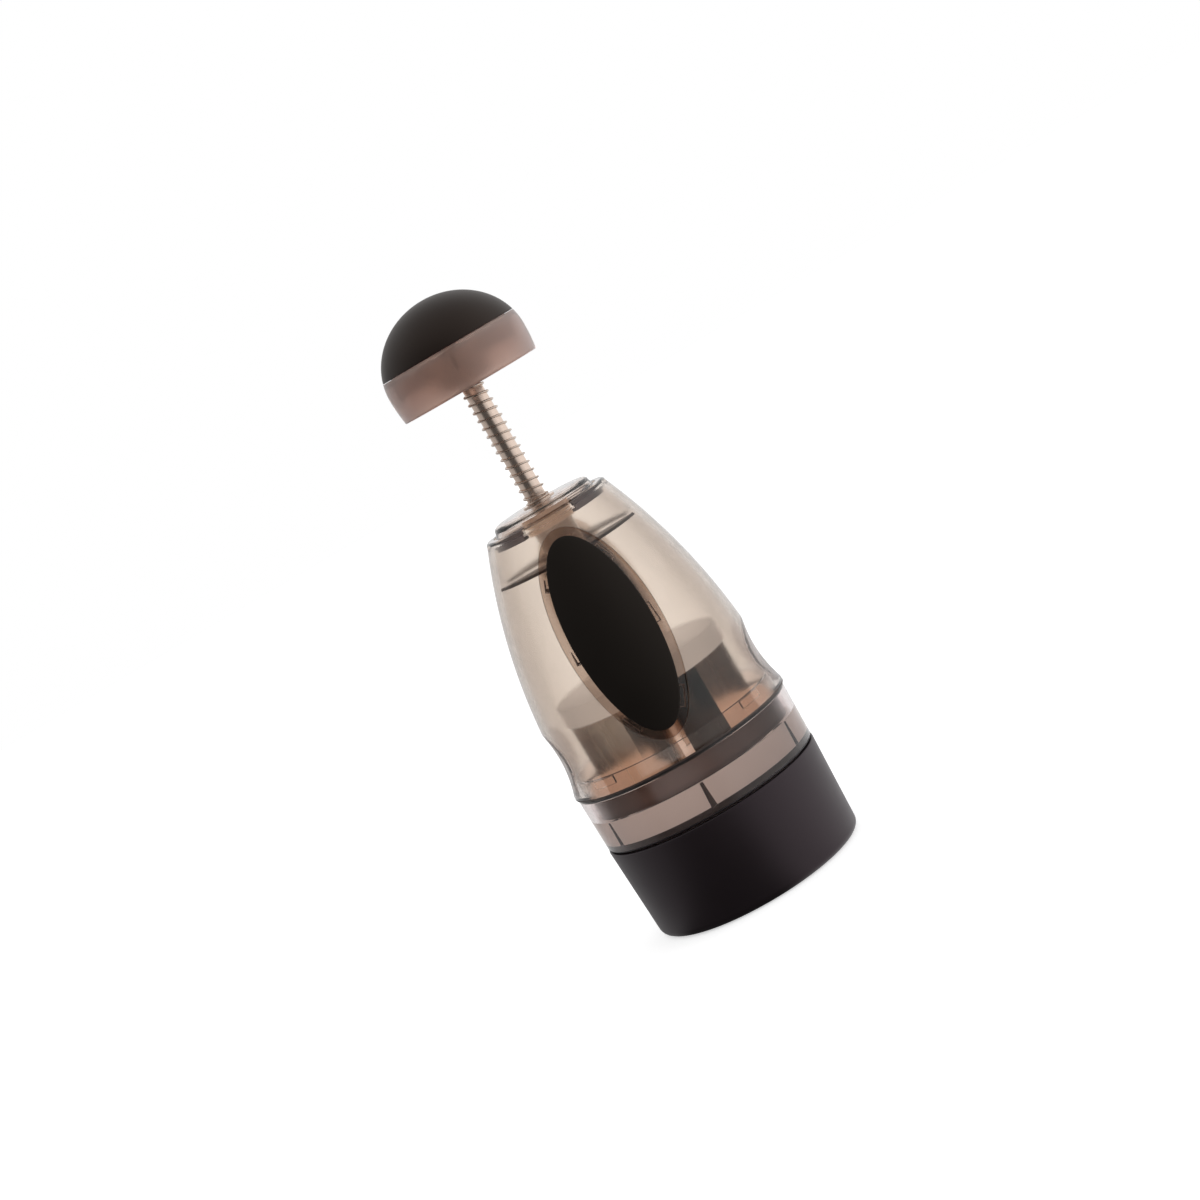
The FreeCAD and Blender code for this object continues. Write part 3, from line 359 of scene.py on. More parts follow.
def grained(name, dark, light, gloss, fineness, depth, shine=0.5, glint=(1, 1, 1), glow=0.0):
    """Opaque moulded plastic or rubber: two close tones, cloudy gloss and a fine grain.

    shine and glint are how strongly it mirrors and in what tone; glow is painted light, emission in the light tone
    standing in for the light that pale plastic scatters."""
    finish, add, link, shader, spot = new_material(name)
    grain = placed(mould_grain, add, {"Fineness": fineness, "Gloss Low": gloss[0], "Gloss High": gloss[1]})
    link(spot, grain.inputs["Vector"])
    tone = add("ShaderNodeMix", data_type="RGBA")
    tone.inputs["A"].default_value = (*dark, 1)
    tone.inputs["B"].default_value = (*light, 1)
    link(grain.outputs["Cloud"], tone.inputs["Factor"])
    link(tone.outputs["Result"], shader.inputs["Base Color"])
    link(grain.outputs["Roughness"], shader.inputs["Roughness"])
    bump = add("ShaderNodeBump")
    bump.inputs["Strength"].default_value = depth
    bump.inputs["Distance"].default_value = 0.02 * MM
    link(grain.outputs["Height"], bump.inputs["Height"])
    link(bump.outputs["Normal"], shader.inputs["Normal"])
    shader.inputs["Specular IOR Level"].default_value = shine
    shader.inputs["Specular Tint"].default_value = (*glint, 1)
    shader.inputs["Emission Color"].default_value = (*light, 1)
    shader.inputs["Emission Strength"].default_value = glow
    return finish


def finished(piece, finish, body, slot, *nodes):
    """Gives a piece its material and its body, and hides the CAD nodes that it stands for; slot is not used."""
    if not piece.data.materials:
        piece.data.materials.append(finish)
    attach(piece, body)
    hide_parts(*nodes)


cup_black = grained("cup_black", (0.017, 0.012, 0.0135), (0.023, 0.017, 0.019), (0.38, 0.46), 2600.0, 0.1,
                    shine=0.42, glint=(1.0, 0.82, 0.92))
finished(base_cup, cup_black, "cup", "black_plastic", "base_cup")


# Chamber ring: smoked clear band between cup and housing, with a spigot below, a spigot with four bayonet
# lugs above, and six tapered ribs on its inner ledge that carry the wiper plate.
CHAMBER_BASE = 37.1
CHAMBER_TOP = 59.0
LEDGE_TOP = 39.9
BAND_BASE_RADIUS = 42.2
BAND_TOP_RADIUS = 42.6
BAND_INNER = 39.9
SPIGOT_RADIUS = 39.31
SPIGOT_INNER = 37.51
SPIGOT_BASE = 17.8
UPPER_SPIGOT_RADIUS = 39.9
UPPER_SPIGOT_INNER = 38.6
UPPER_SPIGOT_TOP = 65.5
RIB_INNER = 36.7
RIB_TOP = 49.3
LUG_RADIUS = 41.0
LUG_TOP = 65.4
LUG_HEIGHT = 2.8


def carved(piece, tool, operation="DIFFERENCE"):
    """Cuts with, or adds, another object, which is used up."""
    alone(piece)
    boolean = piece.modifiers.new("cut", "BOOLEAN")
    boolean.operation = operation
    boolean.solver = "EXACT"
    boolean.object = tool
    bpy.ops.object.modifier_apply(modifier=boolean.name)
    bpy.data.objects.remove(tool)
    return piece


def block(name, low, high, top_share=1.0):
    """Rectangular block between two corners in mm, its top narrowed across Y by a share."""
    bpy.ops.object.select_all(action="DESELECT")
    middle = (Vector(low) + Vector(high)) / 2 * MM
    bpy.ops.mesh.primitive_cube_add(size=1, location=middle)
    piece = bpy.context.object
    piece.name = name
    piece.scale = (Vector(high) - Vector(low)) * MM
    bpy.ops.object.transform_apply(location=True, rotation=True, scale=True)
    if top_share != 1.0:
        bpy.ops.object.mode_set(mode="EDIT")
        bpy.ops.mesh.select_mode(type="FACE")
        bpy.ops.mesh.select_all(action="DESELECT")
        bpy.ops.object.mode_set(mode="OBJECT")
        for face in piece.data.polygons:
            face.select = face.normal.z > 0.9
        bpy.ops.object.mode_set(mode="EDIT")
        bpy.ops.transform.resize(value=(1, top_share, 1), center_override=(middle.x, middle.y, high[2] * MM))
        bpy.ops.object.mode_set(mode="OBJECT")
    return piece


def turned_about(piece, degrees):
    """Turns a piece about the chopper's axis, in its mesh."""
    alone(piece)
    piece.rotation_euler = (0, 0, math.radians(degrees))
    bpy.ops.object.transform_apply(location=True, rotation=True, scale=True)
    return piece


def copies(piece, angles):
    """The piece turned to the first angle, and copies of it at the others."""
    pieces = []
    for number, degrees in enumerate(angles):
        copy = piece
        if number < len(angles) - 1:
            alone(piece)
            bpy.ops.object.duplicate()
            copy = bpy.context.object
        pieces.append(turned_about(copy, degrees))
    return pieces


def wedge_of_ring(name, inner, outer, bottom, top, sweep, steps=12):
    """Piece of a ring centred on +X: a flat section spun through sweep degrees."""
    bpy.ops.object.select_all(action="DESELECT")
    bpy.ops.mesh.primitive_plane_add(size=1)
    piece = bpy.context.object
    piece.name = name
    piece.scale = ((outer - inner) * MM, (top - bottom) * MM, 1)
    piece.rotation_euler = (math.pi / 2, 0, 0)
    piece.location = ((inner + outer) / 2 * MM, 0, (bottom + top) / 2 * MM)
    bpy.ops.object.transform_apply(location=True, rotation=True, scale=True)
    turned_about(piece, -sweep / 2)
    bpy.ops.object.mode_set(mode="EDIT")
    bpy.ops.mesh.select_all(action="SELECT")
    bpy.ops.mesh.spin(steps=steps, angle=-math.radians(sweep), center=(0, 0, 0), axis=(0, 0, 1))
    bpy.ops.mesh.select_all(action="SELECT")
    bpy.ops.mesh.normals_make_consistent(inside=False)
    bpy.ops.object.mode_set(mode="OBJECT")
    return piece


chamber = turned("chamber_band", [
    (SPIGOT_INNER, SPIGOT_BASE),
    (SPIGOT_RADIUS, SPIGOT_BASE),
    (SPIGOT_RADIUS, CHAMBER_BASE),
] + corner((BAND_BASE_RADIUS - 0.8, CHAMBER_BASE), (BAND_BASE_RADIUS, CHAMBER_BASE + 0.8),
           (BAND_BASE_RADIUS, CHAMBER_BASE)) + [
    (BAND_TOP_RADIUS, CHAMBER_TOP),
    (UPPER_SPIGOT_RADIUS, CHAMBER_TOP),
    (UPPER_SPIGOT_RADIUS, UPPER_SPIGOT_TOP),
    (UPPER_SPIGOT_INNER, UPPER_SPIGOT_TOP),
    (UPPER_SPIGOT_INNER, CHAMBER_TOP),
    (BAND_INNER, CHAMBER_TOP - 1.3),
    (BAND_INNER, RIB_TOP + 0.3),
    (BAND_INNER, LEDGE_TOP),
    (SPIGOT_INNER, LEDGE_TOP),
], segments=256)
rib = block("rib", (RIB_INNER, -1.2, LEDGE_TOP - 0.7), (BAND_INNER + 1.15, 1.2, RIB_TOP), top_share=0.5)
rounded(rib, 0.3)
for copy in copies(rib, [30, 90, 150, 210, 270, 330]):
    carved(chamber, copy, "UNION")
lug = wedge_of_ring("lug", UPPER_SPIGOT_RADIUS - 0.65, LUG_RADIUS, LUG_TOP - LUG_HEIGHT, LUG_TOP, 14)
for copy in copies(lug, [45, 135, 225, 315]):
    carved(chamber, copy, "UNION")
smooth(chamber)

# smoke_flow: slow streaks of tone along the flow of the moulding, and faint rubbed haze
smoke_flow, add, link, given, made = effect(
    "smoke_flow",
    [("Vector", "NodeSocketVector", None), ("Thin", "NodeSocketColor", (0.9, 0.9, 0.9, 1)),
     ("Thick", "NodeSocketColor", (0.8, 0.8, 0.8, 1)), ("Gloss Low", "NodeSocketFloat", 0.02),
     ("Gloss High", "NodeSocketFloat", 0.06)],
    [("Color", "NodeSocketColor"), ("Roughness", "NodeSocketFloat"), ("Height", "NodeSocketFloat")])
stretch = add("ShaderNodeMapping")
stretch.inputs["Scale"].default_value = (1.0, 1.0, 0.35)
link(given.outputs["Vector"], stretch.inputs["Vector"])
flow = add("ShaderNodeTexNoise")
flow.inputs["Scale"].default_value = 28.0
flow.inputs["Detail"].default_value = 2.0
link(stretch.outputs["Vector"], flow.inputs["Vector"])
tone = add("ShaderNodeMix", data_type="RGBA")
link(flow.outputs["Fac"], tone.inputs["Factor"])
link(given.outputs["Thin"], tone.inputs["A"])
link(given.outputs["Thick"], tone.inputs["B"])
link(tone.outputs["Result"], made.inputs["Color"])
haze = add("ShaderNodeTexNoise")
haze.inputs["Scale"].default_value = 160.0
haze.inputs["Detail"].default_value = 3.0
link(given.outputs["Vector"], haze.inputs["Vector"])
gloss = add("ShaderNodeMapRange")
gloss.inputs["From Min"].default_value = 0.35
gloss.inputs["From Max"].default_value = 0.7
link(haze.outputs["Fac"], gloss.inputs["Value"])
link(given.outputs["Gloss Low"], gloss.inputs["To Min"])
link(given.outputs["Gloss High"], gloss.inputs["To Max"])
link(gloss.outputs["Result"], made.inputs["Roughness"])
link(haze.outputs["Fac"], made.inputs["Height"])


def clear_plastic(name, thin, thick, gloss, veil=0.0, edge=None, glow=0.0):
    """Smoked see-through plastic: tone and haze from smoke_flow, darker where seen flat along the wall.

    veil is its milky share, edge the tone at its outline, and glow is painted light: emission in its thin tone,
    standing in for the light that it would scatter from all round."""
    finish, add, link, shader, spot = new_material(name)
    flow = placed(smoke_flow, add, {"Thin": (*thin, 1), "Thick": (*thick, 1),
                                    "Gloss Low": gloss[0], "Gloss High": gloss[1]})
    link(spot, flow.inputs["Vector"])
    facing = add("ShaderNodeLayerWeight")
    facing.inputs["Blend"].default_value = 0.3
    rim = add("ShaderNodeMix", data_type="RGBA")
    rim.inputs["B"].default_value = (*(edge or thick), 1)
    link(facing.outputs["Facing"], rim.inputs["Factor"])
    link(flow.outputs["Color"], rim.inputs["A"])
    link(rim.outputs["Result"], shader.inputs["Base Color"])
    link(flow.outputs["Roughness"], shader.inputs["Roughness"])
    shader.inputs["Transmission Weight"].default_value = 1.0 - veil
    shader.inputs["Emission Color"].default_value = (*thin, 1)
    shader.inputs["Emission Strength"].default_value = glow
    shader.inputs["IOR"].default_value = 1.49
    return finish


def painted(piece, finishes, choose):
    """Gives a piece its materials, and each face the one that choose names from its centre in mm and its normal."""
    for finish in finishes:
        piece.data.materials.append(finish)
    for face in piece.data.polygons:
        face.material_index = choose(face.center / MM, face.normal)


def outward(spot, normal):
    """How much a face looks away from the axis, from -1 to 1."""
    reach = math.hypot(spot.x, spot.y) or 1.0
    return (normal.x * spot.x + normal.y * spot.y) / reach


ring_smoke = clear_plastic("ring_smoke", (0.90, 0.83, 0.81), (0.87, 0.79, 0.77), (0.06, 0.1), edge=(0.62, 0.53, 0.54))
# frosted inside, with a faint painted glow
ring_frost = clear_plastic("ring_frost", (0.92, 0.74, 0.65), (0.88, 0.69, 0.60), (0.45, 0.55), veil=0.7, glow=0.15)
# painted shade: a darker copy for ribs, ledge and spigot
ring_painted_shade = clear_plastic("ring_painted_shade", (0.30, 0.23, 0.22), (0.25, 0.19, 0.18), (0.4, 0.5), veil=0.6)
ring_clear = clear_plastic("ring_clear", (0.98, 0.94, 0.91), (0.96, 0.92, 0.89), (0.04, 0.07))
# painted shadow: nearly black, for the seam over the cup
ring_seam_shadow = clear_plastic("ring_seam_shadow", (0.03, 0.024, 0.026), (0.02, 0.016, 0.018), (0.5, 0.6), veil=0.95)


def chamber_zone(spot, normal):
    """Clear outside, frosted inside below the wiper, painted shade on ribs, ledge and spigot, and a painted shadow in
    the seam over the cup.
    """
    reach = math.hypot(spot.x, spot.y)
    if CHAMBER_BASE - 0.1 < spot.z < CHAMBER_BASE + 0.7 and reach > SPIGOT_RADIUS + 0.1:
        return 3
    if spot.z <= RIB_TOP + 0.1 and reach < BAND_INNER - 0.15:
        return 2
    if spot.z > CHAMBER_TOP + 0.1:
        return 4
    return 1 if spot.z < RIB_TOP + 0.1 and outward(spot, normal) < -0.5 else 0


painted(chamber, (ring_smoke, ring_frost, ring_painted_shade, ring_seam_shadow, ring_clear), chamber_zone)
finished(chamber, ring_smoke, "chamber", "smoked_plastic", "chamber_ring")


# Chamber seal: thin dark flat ring pressed into a groove in the band's top, shown by the CAD's own ring.
def dressed(node, finish):
    """Gives a node that stays as it is its material."""
    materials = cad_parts[node].data.materials
    materials.clear()
    materials.append(finish)


seal_rubber = grained("seal_rubber", (0.014, 0.011, 0.011), (0.022, 0.018, 0.017), (0.5, 0.62), 1800.0, 0.3)
dressed("chamber_seal", seal_rubber)


# Blade head: two folded steel blades held by their tabs in a pale carrier, which hangs on the rod's
# end and carries the ratchet crown that turns it.
CARRIER_RADIUS = 32.4
CARRIER_BASE = 83.4
CARRIER_TOP = 91.3
CARRIER_UNDERSIDE = 89.3
HUB_RADIUS = 5.2
HUB_BORE = 3.05
HUB_BASE = 86.7
HUB_TOP = 99.0
BLADE_EDGE = 49.9
BLADE_INNER = 12.0
BLADE_OUTER = 30.2
BLADE_THICKNESS = 0.8

carrier = turned("blade_carrier_cup", [
    (HUB_RADIUS, HUB_TOP),
    (HUB_BORE, HUB_TOP),
    (HUB_BORE, HUB_BASE),
    (HUB_RADIUS, HUB_BASE),
    (HUB_RADIUS, CARRIER_UNDERSIDE),
    (CARRIER_RADIUS - 1.2, CARRIER_UNDERSIDE),
    (CARRIER_RADIUS - 1.2, CARRIER_BASE),
    (CARRIER_RADIUS, CARRIER_BASE),
    (CARRIER_RADIUS, CARRIER_TOP),
    (HUB_RADIUS, CARRIER_TOP),
])
rounded(carrier, 0.35)
smooth(carrier)


def fold_line(half, trim=3.0):
    """Fold points of one blade, as the carrier's slots place them, its ends cut back by trim."""
    points = []
    for number in range(7):
        azimuth = math.radians(5 - 90 + half * 180 + number * 30)
        radius = BLADE_OUTER if number % 2 else BLADE_INNER
        points.append(Vector((radius * math.cos(azimuth), radius * math.sin(azimuth), 0)) * MM)
    points[0] += (points[1] - points[0]).normalized() * trim * MM
    points[-1] += (points[-2] - points[-1]).normalized() * trim * MM
    return points


def folded(name, points, bottom, top, thickness):
    """Upright strip drawn from fold to fold, then given its thickness."""
    bpy.ops.object.select_all(action="DESELECT")
    bpy.ops.mesh.primitive_plane_add(size=1)
    strip = bpy.context.object
    strip.name = name
    bpy.ops.object.mode_set(mode="EDIT")
    bpy.ops.mesh.select_all(action="DESELECT")
    bpy.ops.object.mode_set(mode="OBJECT")
    for vertex in strip.data.vertices:
        vertex.select = vertex.co.x > 0
    bpy.ops.object.mode_set(mode="EDIT")
    bpy.ops.mesh.delete(type="VERT")
    bpy.ops.object.mode_set(mode="OBJECT")
    strip.scale = (1, (top - bottom) * MM, 1)
    strip.rotation_euler = (math.pi / 2, 0, 0)
    strip.location = (points[0].x + 0.5, points[0].y, (top + bottom) / 2 * MM)
    bpy.ops.object.transform_apply(location=True, rotation=True, scale=True)
    bpy.ops.object.mode_set(mode="EDIT")
    bpy.ops.mesh.select_all(action="SELECT")
    for here, there in zip(points, points[1:]):
        bpy.ops.mesh.extrude_region_move(TRANSFORM_OT_translate={"value": there - here})
    bpy.ops.mesh.select_all(action="SELECT")
    bpy.ops.mesh.normals_make_consistent(inside=False)
    bpy.ops.object.mode_set(mode="OBJECT")
    sheet = strip.modifiers.new("sheet", "SOLIDIFY")
    sheet.thickness = thickness * MM
    sheet.offset = 0
    sheet.use_even_offset = True
    bpy.ops.object.modifier_apply(modifier=sheet.name)
    return strip


blades = []
for half, blade_name, node in ((1, "left_blade", "left_zigzag_blade"), (0, "right_blade", "right_zigzag_blade")):
    blade = folded(blade_name, fold_line(half), BLADE_EDGE, CARRIER_UNDERSIDE, BLADE_THICKNESS)
    rounded(blade, 0.18, steps=2)
    smooth(blade)
    blades.append((blade, node))

# brushed_lines: fine upright scratches of rolled or ground steel
brushed_lines, add, link, given, made = effect(
    "brushed_lines",
    [("Vector", "NodeSocketVector", None), ("Across", "NodeSocketFloat", 900.0), ("Along", "NodeSocketFloat", 25.0)],
    [("Height", "NodeSocketFloat"), ("Roughness", "NodeSocketFloat"), ("Tone", "NodeSocketFloat")])
size = add("ShaderNodeCombineXYZ")
link(given.outputs["Across"], size.inputs["X"])
link(given.outputs["Across"], size.inputs["Y"])
link(given.outputs["Along"], size.inputs["Z"])
scaled = add("ShaderNodeVectorMath", operation="MULTIPLY")
link(given.outputs["Vector"], scaled.inputs[0])
link(size.outputs["Vector"], scaled.inputs[1])
lines = add("ShaderNodeTexNoise")
lines.inputs["Scale"].default_value = 1.0
lines.inputs["Detail"].default_value = 3.0
link(scaled.outputs["Vector"], lines.inputs["Vector"])
link(lines.outputs["Fac"], made.inputs["Height"])
link(lines.outputs["Fac"], made.inputs["Tone"])
gloss = add("ShaderNodeMapRange")
gloss.inputs["To Min"].default_value = 0.16
gloss.inputs["To Max"].default_value = 0.34
link(lines.outputs["Fac"], gloss.inputs["Value"])
link(gloss.outputs["Result"], made.inputs["Roughness"])


def steel(name, tone, across, along, depth):
    finish, add, link, shader, spot = new_material(name)
    brushed = placed(brushed_lines, add, {"Across": across, "Along": along})
    link(spot, brushed.inputs["Vector"])
    shade = add("ShaderNodeMix", data_type="RGBA")
    shade.inputs["A"].default_value = (*[c * 0.9 for c in tone], 1)
    shade.inputs["B"].default_value = (*tone, 1)
    link(brushed.outputs["Tone"], shade.inputs["Factor"])
    link(shade.outputs["Result"], shader.inputs["Base Color"])
    link(brushed.outputs["Roughness"], shader.inputs["Roughness"])
    bump = add("ShaderNodeBump")
    bump.inputs["Strength"].default_value = depth
    bump.inputs["Distance"].default_value = 0.01 * MM
    link(brushed.outputs["Height"], bump.inputs["Height"])
    link(bump.outputs["Normal"], shader.inputs["Normal"])
    shader.inputs["Metallic"].default_value = 1.0
    return finish


blade_steel = steel("blade_steel", (0.78, 0.66, 0.57), 900.0, 25.0, 0.1)
# painted shade: a near-black copy of the blade steel for the fold next to the middle
blade_painted_shade = steel("blade_painted_shade", (0.05, 0.038, 0.031), 900.0, 25.0, 0.1)


def blade_zone(spot, normal):
    """Painted shade: the fold next to the middle gets the near-black copy of the steel."""
    bearing = math.degrees(math.atan2(spot.y, spot.x)) % 180
    return 1 if 97 < bearing < 124 else 0


for blade, node in blades:
    painted(blade, (blade_steel, blade_painted_shade), blade_zone)
    finished(blade, blade_steel, "blade_head", "blade_steel", node)
# the carrier and the pale nylon parts have a painted glow, emission in place of light reaching them through the shell
carrier_white = grained("carrier_pale", (0.74, 0.65, 0.59), (0.82, 0.74, 0.69), (0.38, 0.5), 1500.0, 0.1, glow=0.3)
finished(carrier, carrier_white, "blade_head", "light_plastic", "blade_carrier")
pale_nylon = grained("pale_nylon", (0.62, 0.50, 0.40), (0.72, 0.59, 0.49), (0.4, 0.55), 1500.0, 0.2, glow=0.1)
dressed("index_ratchet", pale_nylon)


# Wiper plate: dark dish that rests on the chamber's ribs; the blades pass through its slots and come up clean.
WIPER_RADIUS = 38.3
WIPER_BASE = 49.6
WIPER_TOP = 58.8

wiper = turned("wiper_dish", [
    (0.4, WIPER_BASE),
    (WIPER_RADIUS, WIPER_BASE),
    (WIPER_RADIUS, WIPER_TOP),
    (WIPER_RADIUS - 1.6, WIPER_TOP),
    (WIPER_RADIUS - 1.6, WIPER_BASE + 1.4),
    (0, WIPER_BASE + 1.4),
])
rounded(wiper, 0.3)
for half in (0, 1):
    slit = folded("slit", fold_line(half, 2.6), WIPER_BASE - 1, WIPER_BASE + 3, BLADE_THICKNESS + 0.6)
    carved(wiper, slit)
smooth(wiper)
wiper_brown = clear_plastic("wiper_brown", (0.17, 0.105, 0.085), (0.12, 0.075, 0.06), (0.3, 0.4), veil=0.85)
# painted light: a paler copy with a painted glow for the dish's floor and inner wall
wiper_painted_light = clear_plastic("wiper_painted_light", (0.78, 0.60, 0.50), (0.70, 0.52, 0.43), (0.3, 0.4), veil=0.7, glow=0.5)


def wiper_zone(spot, normal):
    """Browner outside; the floor and inner wall of the dish are a paler copy with a painted glow, painted light where
    light falls in.
    """
    return 1 if spot.z > WIPER_BASE + 1.3 and (normal.z > 0.7 or outward(spot, normal) < -0.5) else 0


painted(wiper, (wiper_brown, wiper_painted_light), wiper_zone)
finished(wiper, wiper_brown, "wiper", "dark_plastic", "wiper_plate")


# Housing shell: smoked clear barrel with a finger dimple on each side, an oval recess front and back for
# the grip pads, and webs and ledges inside; one moulding, polished outside and hazy inside.
HOUSING_BASE = 59.3
HOUSING_TOP = 155.0
BARREL_MIDDLE = 66.5
BARREL_RADIUS = 42.6
BARREL_CURVE = 218.0
SHELL_WALL = 2.4
SHOULDER_BASE = 153.5
MOUTH_RADIUS = 20.99
MOUTH_BASE = 152.4
SPIGOT_BORE = 40.2
DIMPLE_CENTRE = 76.0
DIMPLE_DEPTH = 1.8
PAD_CENTRE = 108.7
PAD_HALF_WIDTH = 14.6
PAD_HALF_HEIGHT = 37.1


def barrel_radius(height, offset=0.0):
    curve = BARREL_CURVE + offset
    return BARREL_RADIUS - BARREL_CURVE + math.sqrt(curve ** 2 - (height - BARREL_MIDDLE) ** 2)


def barrel_rings(low, high, offset=0.0, steps=58):
    heights = [low + (high - low) * step / steps for step in range(steps + 1)]
    return [(barrel_radius(height, offset), height) for height in heights]


def finger_tool(name, growth, side):
    """Thick ring whose inside is the hollow for a finger, on the +X or -X side."""
    bpy.ops.object.select_all(action="DESELECT")
    deepest = barrel_radius(DIMPLE_CENTRE) - DIMPLE_DEPTH
    bpy.ops.mesh.primitive_torus_add(
        major_segments=640, minor_segments=200, major_radius=(76.0 + 49.0) * MM, minor_radius=(49.0 + growth) * MM,
        location=(side * (deepest - 76.0) * MM, 0, DIMPLE_CENTRE * MM))
    tool = bpy.context.object
    tool.name = name
    bpy.ops.object.transform_apply(location=True, rotation=True, scale=True)
    bpy.ops.object.mode_set(mode="EDIT")
    bpy.ops.mesh.select_all(action="SELECT")
    bpy.ops.mesh.bisect(plane_co=(side * 20 * MM, 0, 0), plane_no=(side, 0, 0), clear_inner=True, use_fill=True)
    bpy.ops.mesh.select_all(action="SELECT")
    bpy.ops.mesh.bisect(plane_co=(side * 60 * MM, 0, 0), plane_no=(side, 0, 0), clear_outer=True, use_fill=True)
    bpy.ops.mesh.select_all(action="SELECT")
    bpy.ops.mesh.normals_make_consistent(inside=False)
    bpy.ops.object.mode_set(mode="OBJECT")
    return tool


LIP_RADIUS = 43.2
LIP_TOP = 62.3


def skin_radius(height):
    """The outside's radius, from the lip's flare to the shoulder."""
    if height > BARREL_MIDDLE:
        return barrel_radius(min(height, SHOULDER_BASE))
    share = max(0.0, (height - LIP_TOP) / (BARREL_MIDDLE - LIP_TOP))
    return LIP_RADIUS + (BARREL_RADIUS - LIP_RADIUS) * share


shoulder_start = barrel_radius(SHOULDER_BASE)
housing = turned("housing_barrel", [(0.4, HOUSING_BASE), (LIP_RADIUS, HOUSING_BASE), (LIP_RADIUS, HOUSING_BASE + 0.7),
                                    (LIP_RADIUS, LIP_TOP)]
                 + barrel_rings(BARREL_MIDDLE, SHOULDER_BASE)
                 + [(shoulder_start - 0.3, 154.55), (shoulder_start - 1.0, HOUSING_TOP), (0, HOUSING_TOP)],
                 segments=288)
hollow = turned("hollow", [(0.4, HOUSING_BASE - 1), (SPIGOT_BORE, HOUSING_BASE - 1)]
                + barrel_rings(BARREL_MIDDLE, MOUTH_BASE, -SHELL_WALL)
                + [(MOUTH_RADIUS, MOUTH_BASE), (MOUTH_RADIUS, HOUSING_TOP + 1), (0, HOUSING_TOP + 1)], segments=288)
for side in (1, -1):
    carved(housing, finger_tool("finger", 0.0, side))
    carved(hollow, finger_tool("finger", SHELL_WALL, side))
carved(housing, hollow)
for middle, sweep in ((270, 52), (90, 52), (0, 24), (180, 24)):
    ledge = wedge_of_ring("ledge", 18.9, barrel_radius(153.4) - 1.2, 151.6, 153.4, sweep, steps=24)
    carved(housing, turned_about(ledge, middle), "UNION")
for side in (1, -1):
    web = turned("web", [(0.4, 138.0), (barrel_radius(138.0, -1.2), 138.0), (barrel_radius(139.0, -1.2), 139.0),
                         (0, 139.0)], segments=288)
    alone(web)
    bpy.ops.object.mode_set(mode="EDIT")
    bpy.ops.mesh.select_all(action="SELECT")
    bpy.ops.mesh.bisect(plane_co=(0, side * 10.6 * MM, 0), plane_no=(0, side, 0), clear_inner=True, use_fill=True)
    bpy.ops.object.mode_set(mode="OBJECT")
    carved(housing, web, "UNION")


def oval_column(name, margin, depth, side):
    """Oval prism towards the front (side -1) or the back, hollowed by the barrel so that it ends at a depth."""
    bpy.ops.object.select_all(action="DESELECT")
    bpy.ops.mesh.primitive_cylinder_add(vertices=200, radius=1, depth=0.05,
                                        location=(0, side * 0.035, PAD_CENTRE * MM), rotation=(math.pi / 2, 0, 0))
    column = bpy.context.object
    column.name = name
    column.scale = ((PAD_HALF_WIDTH + margin) * MM, (PAD_HALF_HEIGHT + margin) * MM, 1)
    bpy.ops.object.transform_apply(location=True, rotation=True, scale=True)
    core = turned("core", [(0.4, 66.5)] + barrel_rings(66.5, SHOULDER_BASE, depth) + [(0, SHOULDER_BASE)], segments=288)
    return carved(column, core)


PEG_ANGLES = (46, 90, 142, 218, 270, 314)
for side in (1, -1):
    carved(housing, oval_column("recess", 3.5, -0.8, side))
    for degrees in PEG_ANGLES:
        azimuth = math.radians(degrees)
        across, up = math.sin(azimuth), math.cos(azimuth)
        x, z = (PAD_HALF_WIDTH + 0.3) * across, PAD_CENTRE + (PAD_HALF_HEIGHT + 0.3) * up
        lean = math.asin((z - BARREL_MIDDLE) / BARREL_CURVE)
        around = math.asin(x / barrel_radius(z))
        slant = math.atan2(PAD_HALF_WIDTH * up, PAD_HALF_HEIGHT * across)
        outer = barrel_radius(z, 3 - 1.45)
        groove = block("groove", (-1.9, -3, -4), (1.9, 3, 4))
        carved(groove, block("core", (-1.45, -4, -3.55), (1.45, 4, 3.55)))
        groove.rotation_euler = (side * lean, -slant, -side * around)
        groove.location = (outer * math.sin(around) * MM, side * outer * math.cos(around) * MM, z * MM)
        alone(groove)
        bpy.ops.object.transform_apply(location=True, rotation=True, scale=True)
        carved(housing, groove)
smooth(housing)
shell_smoke = clear_plastic("shell_smoke", (0.98, 0.915, 0.85), (0.95, 0.875, 0.80), (0.05, 0.08),
                            edge=(0.26, 0.16, 0.11))
shell_haze = clear_plastic("shell_haze", (0.98, 0.915, 0.85), (0.95, 0.875, 0.80), (0.13, 0.18),
                           edge=(0.26, 0.16, 0.11))
shell_lip = clear_plastic("shell_lip", (0.98, 0.92, 0.87), (0.96, 0.89, 0.84), (0.05, 0.08), edge=(0.26, 0.16, 0.11))
# painted shade: dark, for the housing's foot in the seam over the chamber ring
shell_seam_shade = clear_plastic("shell_seam_shade", (0.10, 0.07, 0.06), (0.07, 0.05, 0.043), (0.55, 0.65), veil=0.85)
# dark, with a faint painted glow
shell_web = clear_plastic("shell_web", (0.30, 0.205, 0.165), (0.24, 0.16, 0.13), (0.4, 0.5), veil=0.7, glow=0.03)
shell_recess = clear_plastic("shell_recess", (0.36, 0.245, 0.18), (0.31, 0.205, 0.15), (0.07, 0.11))
shell_hollow = clear_plastic("shell_hollow", (0.42, 0.31, 0.27), (0.37, 0.27, 0.235), (0.2, 0.3), veil=0.1)


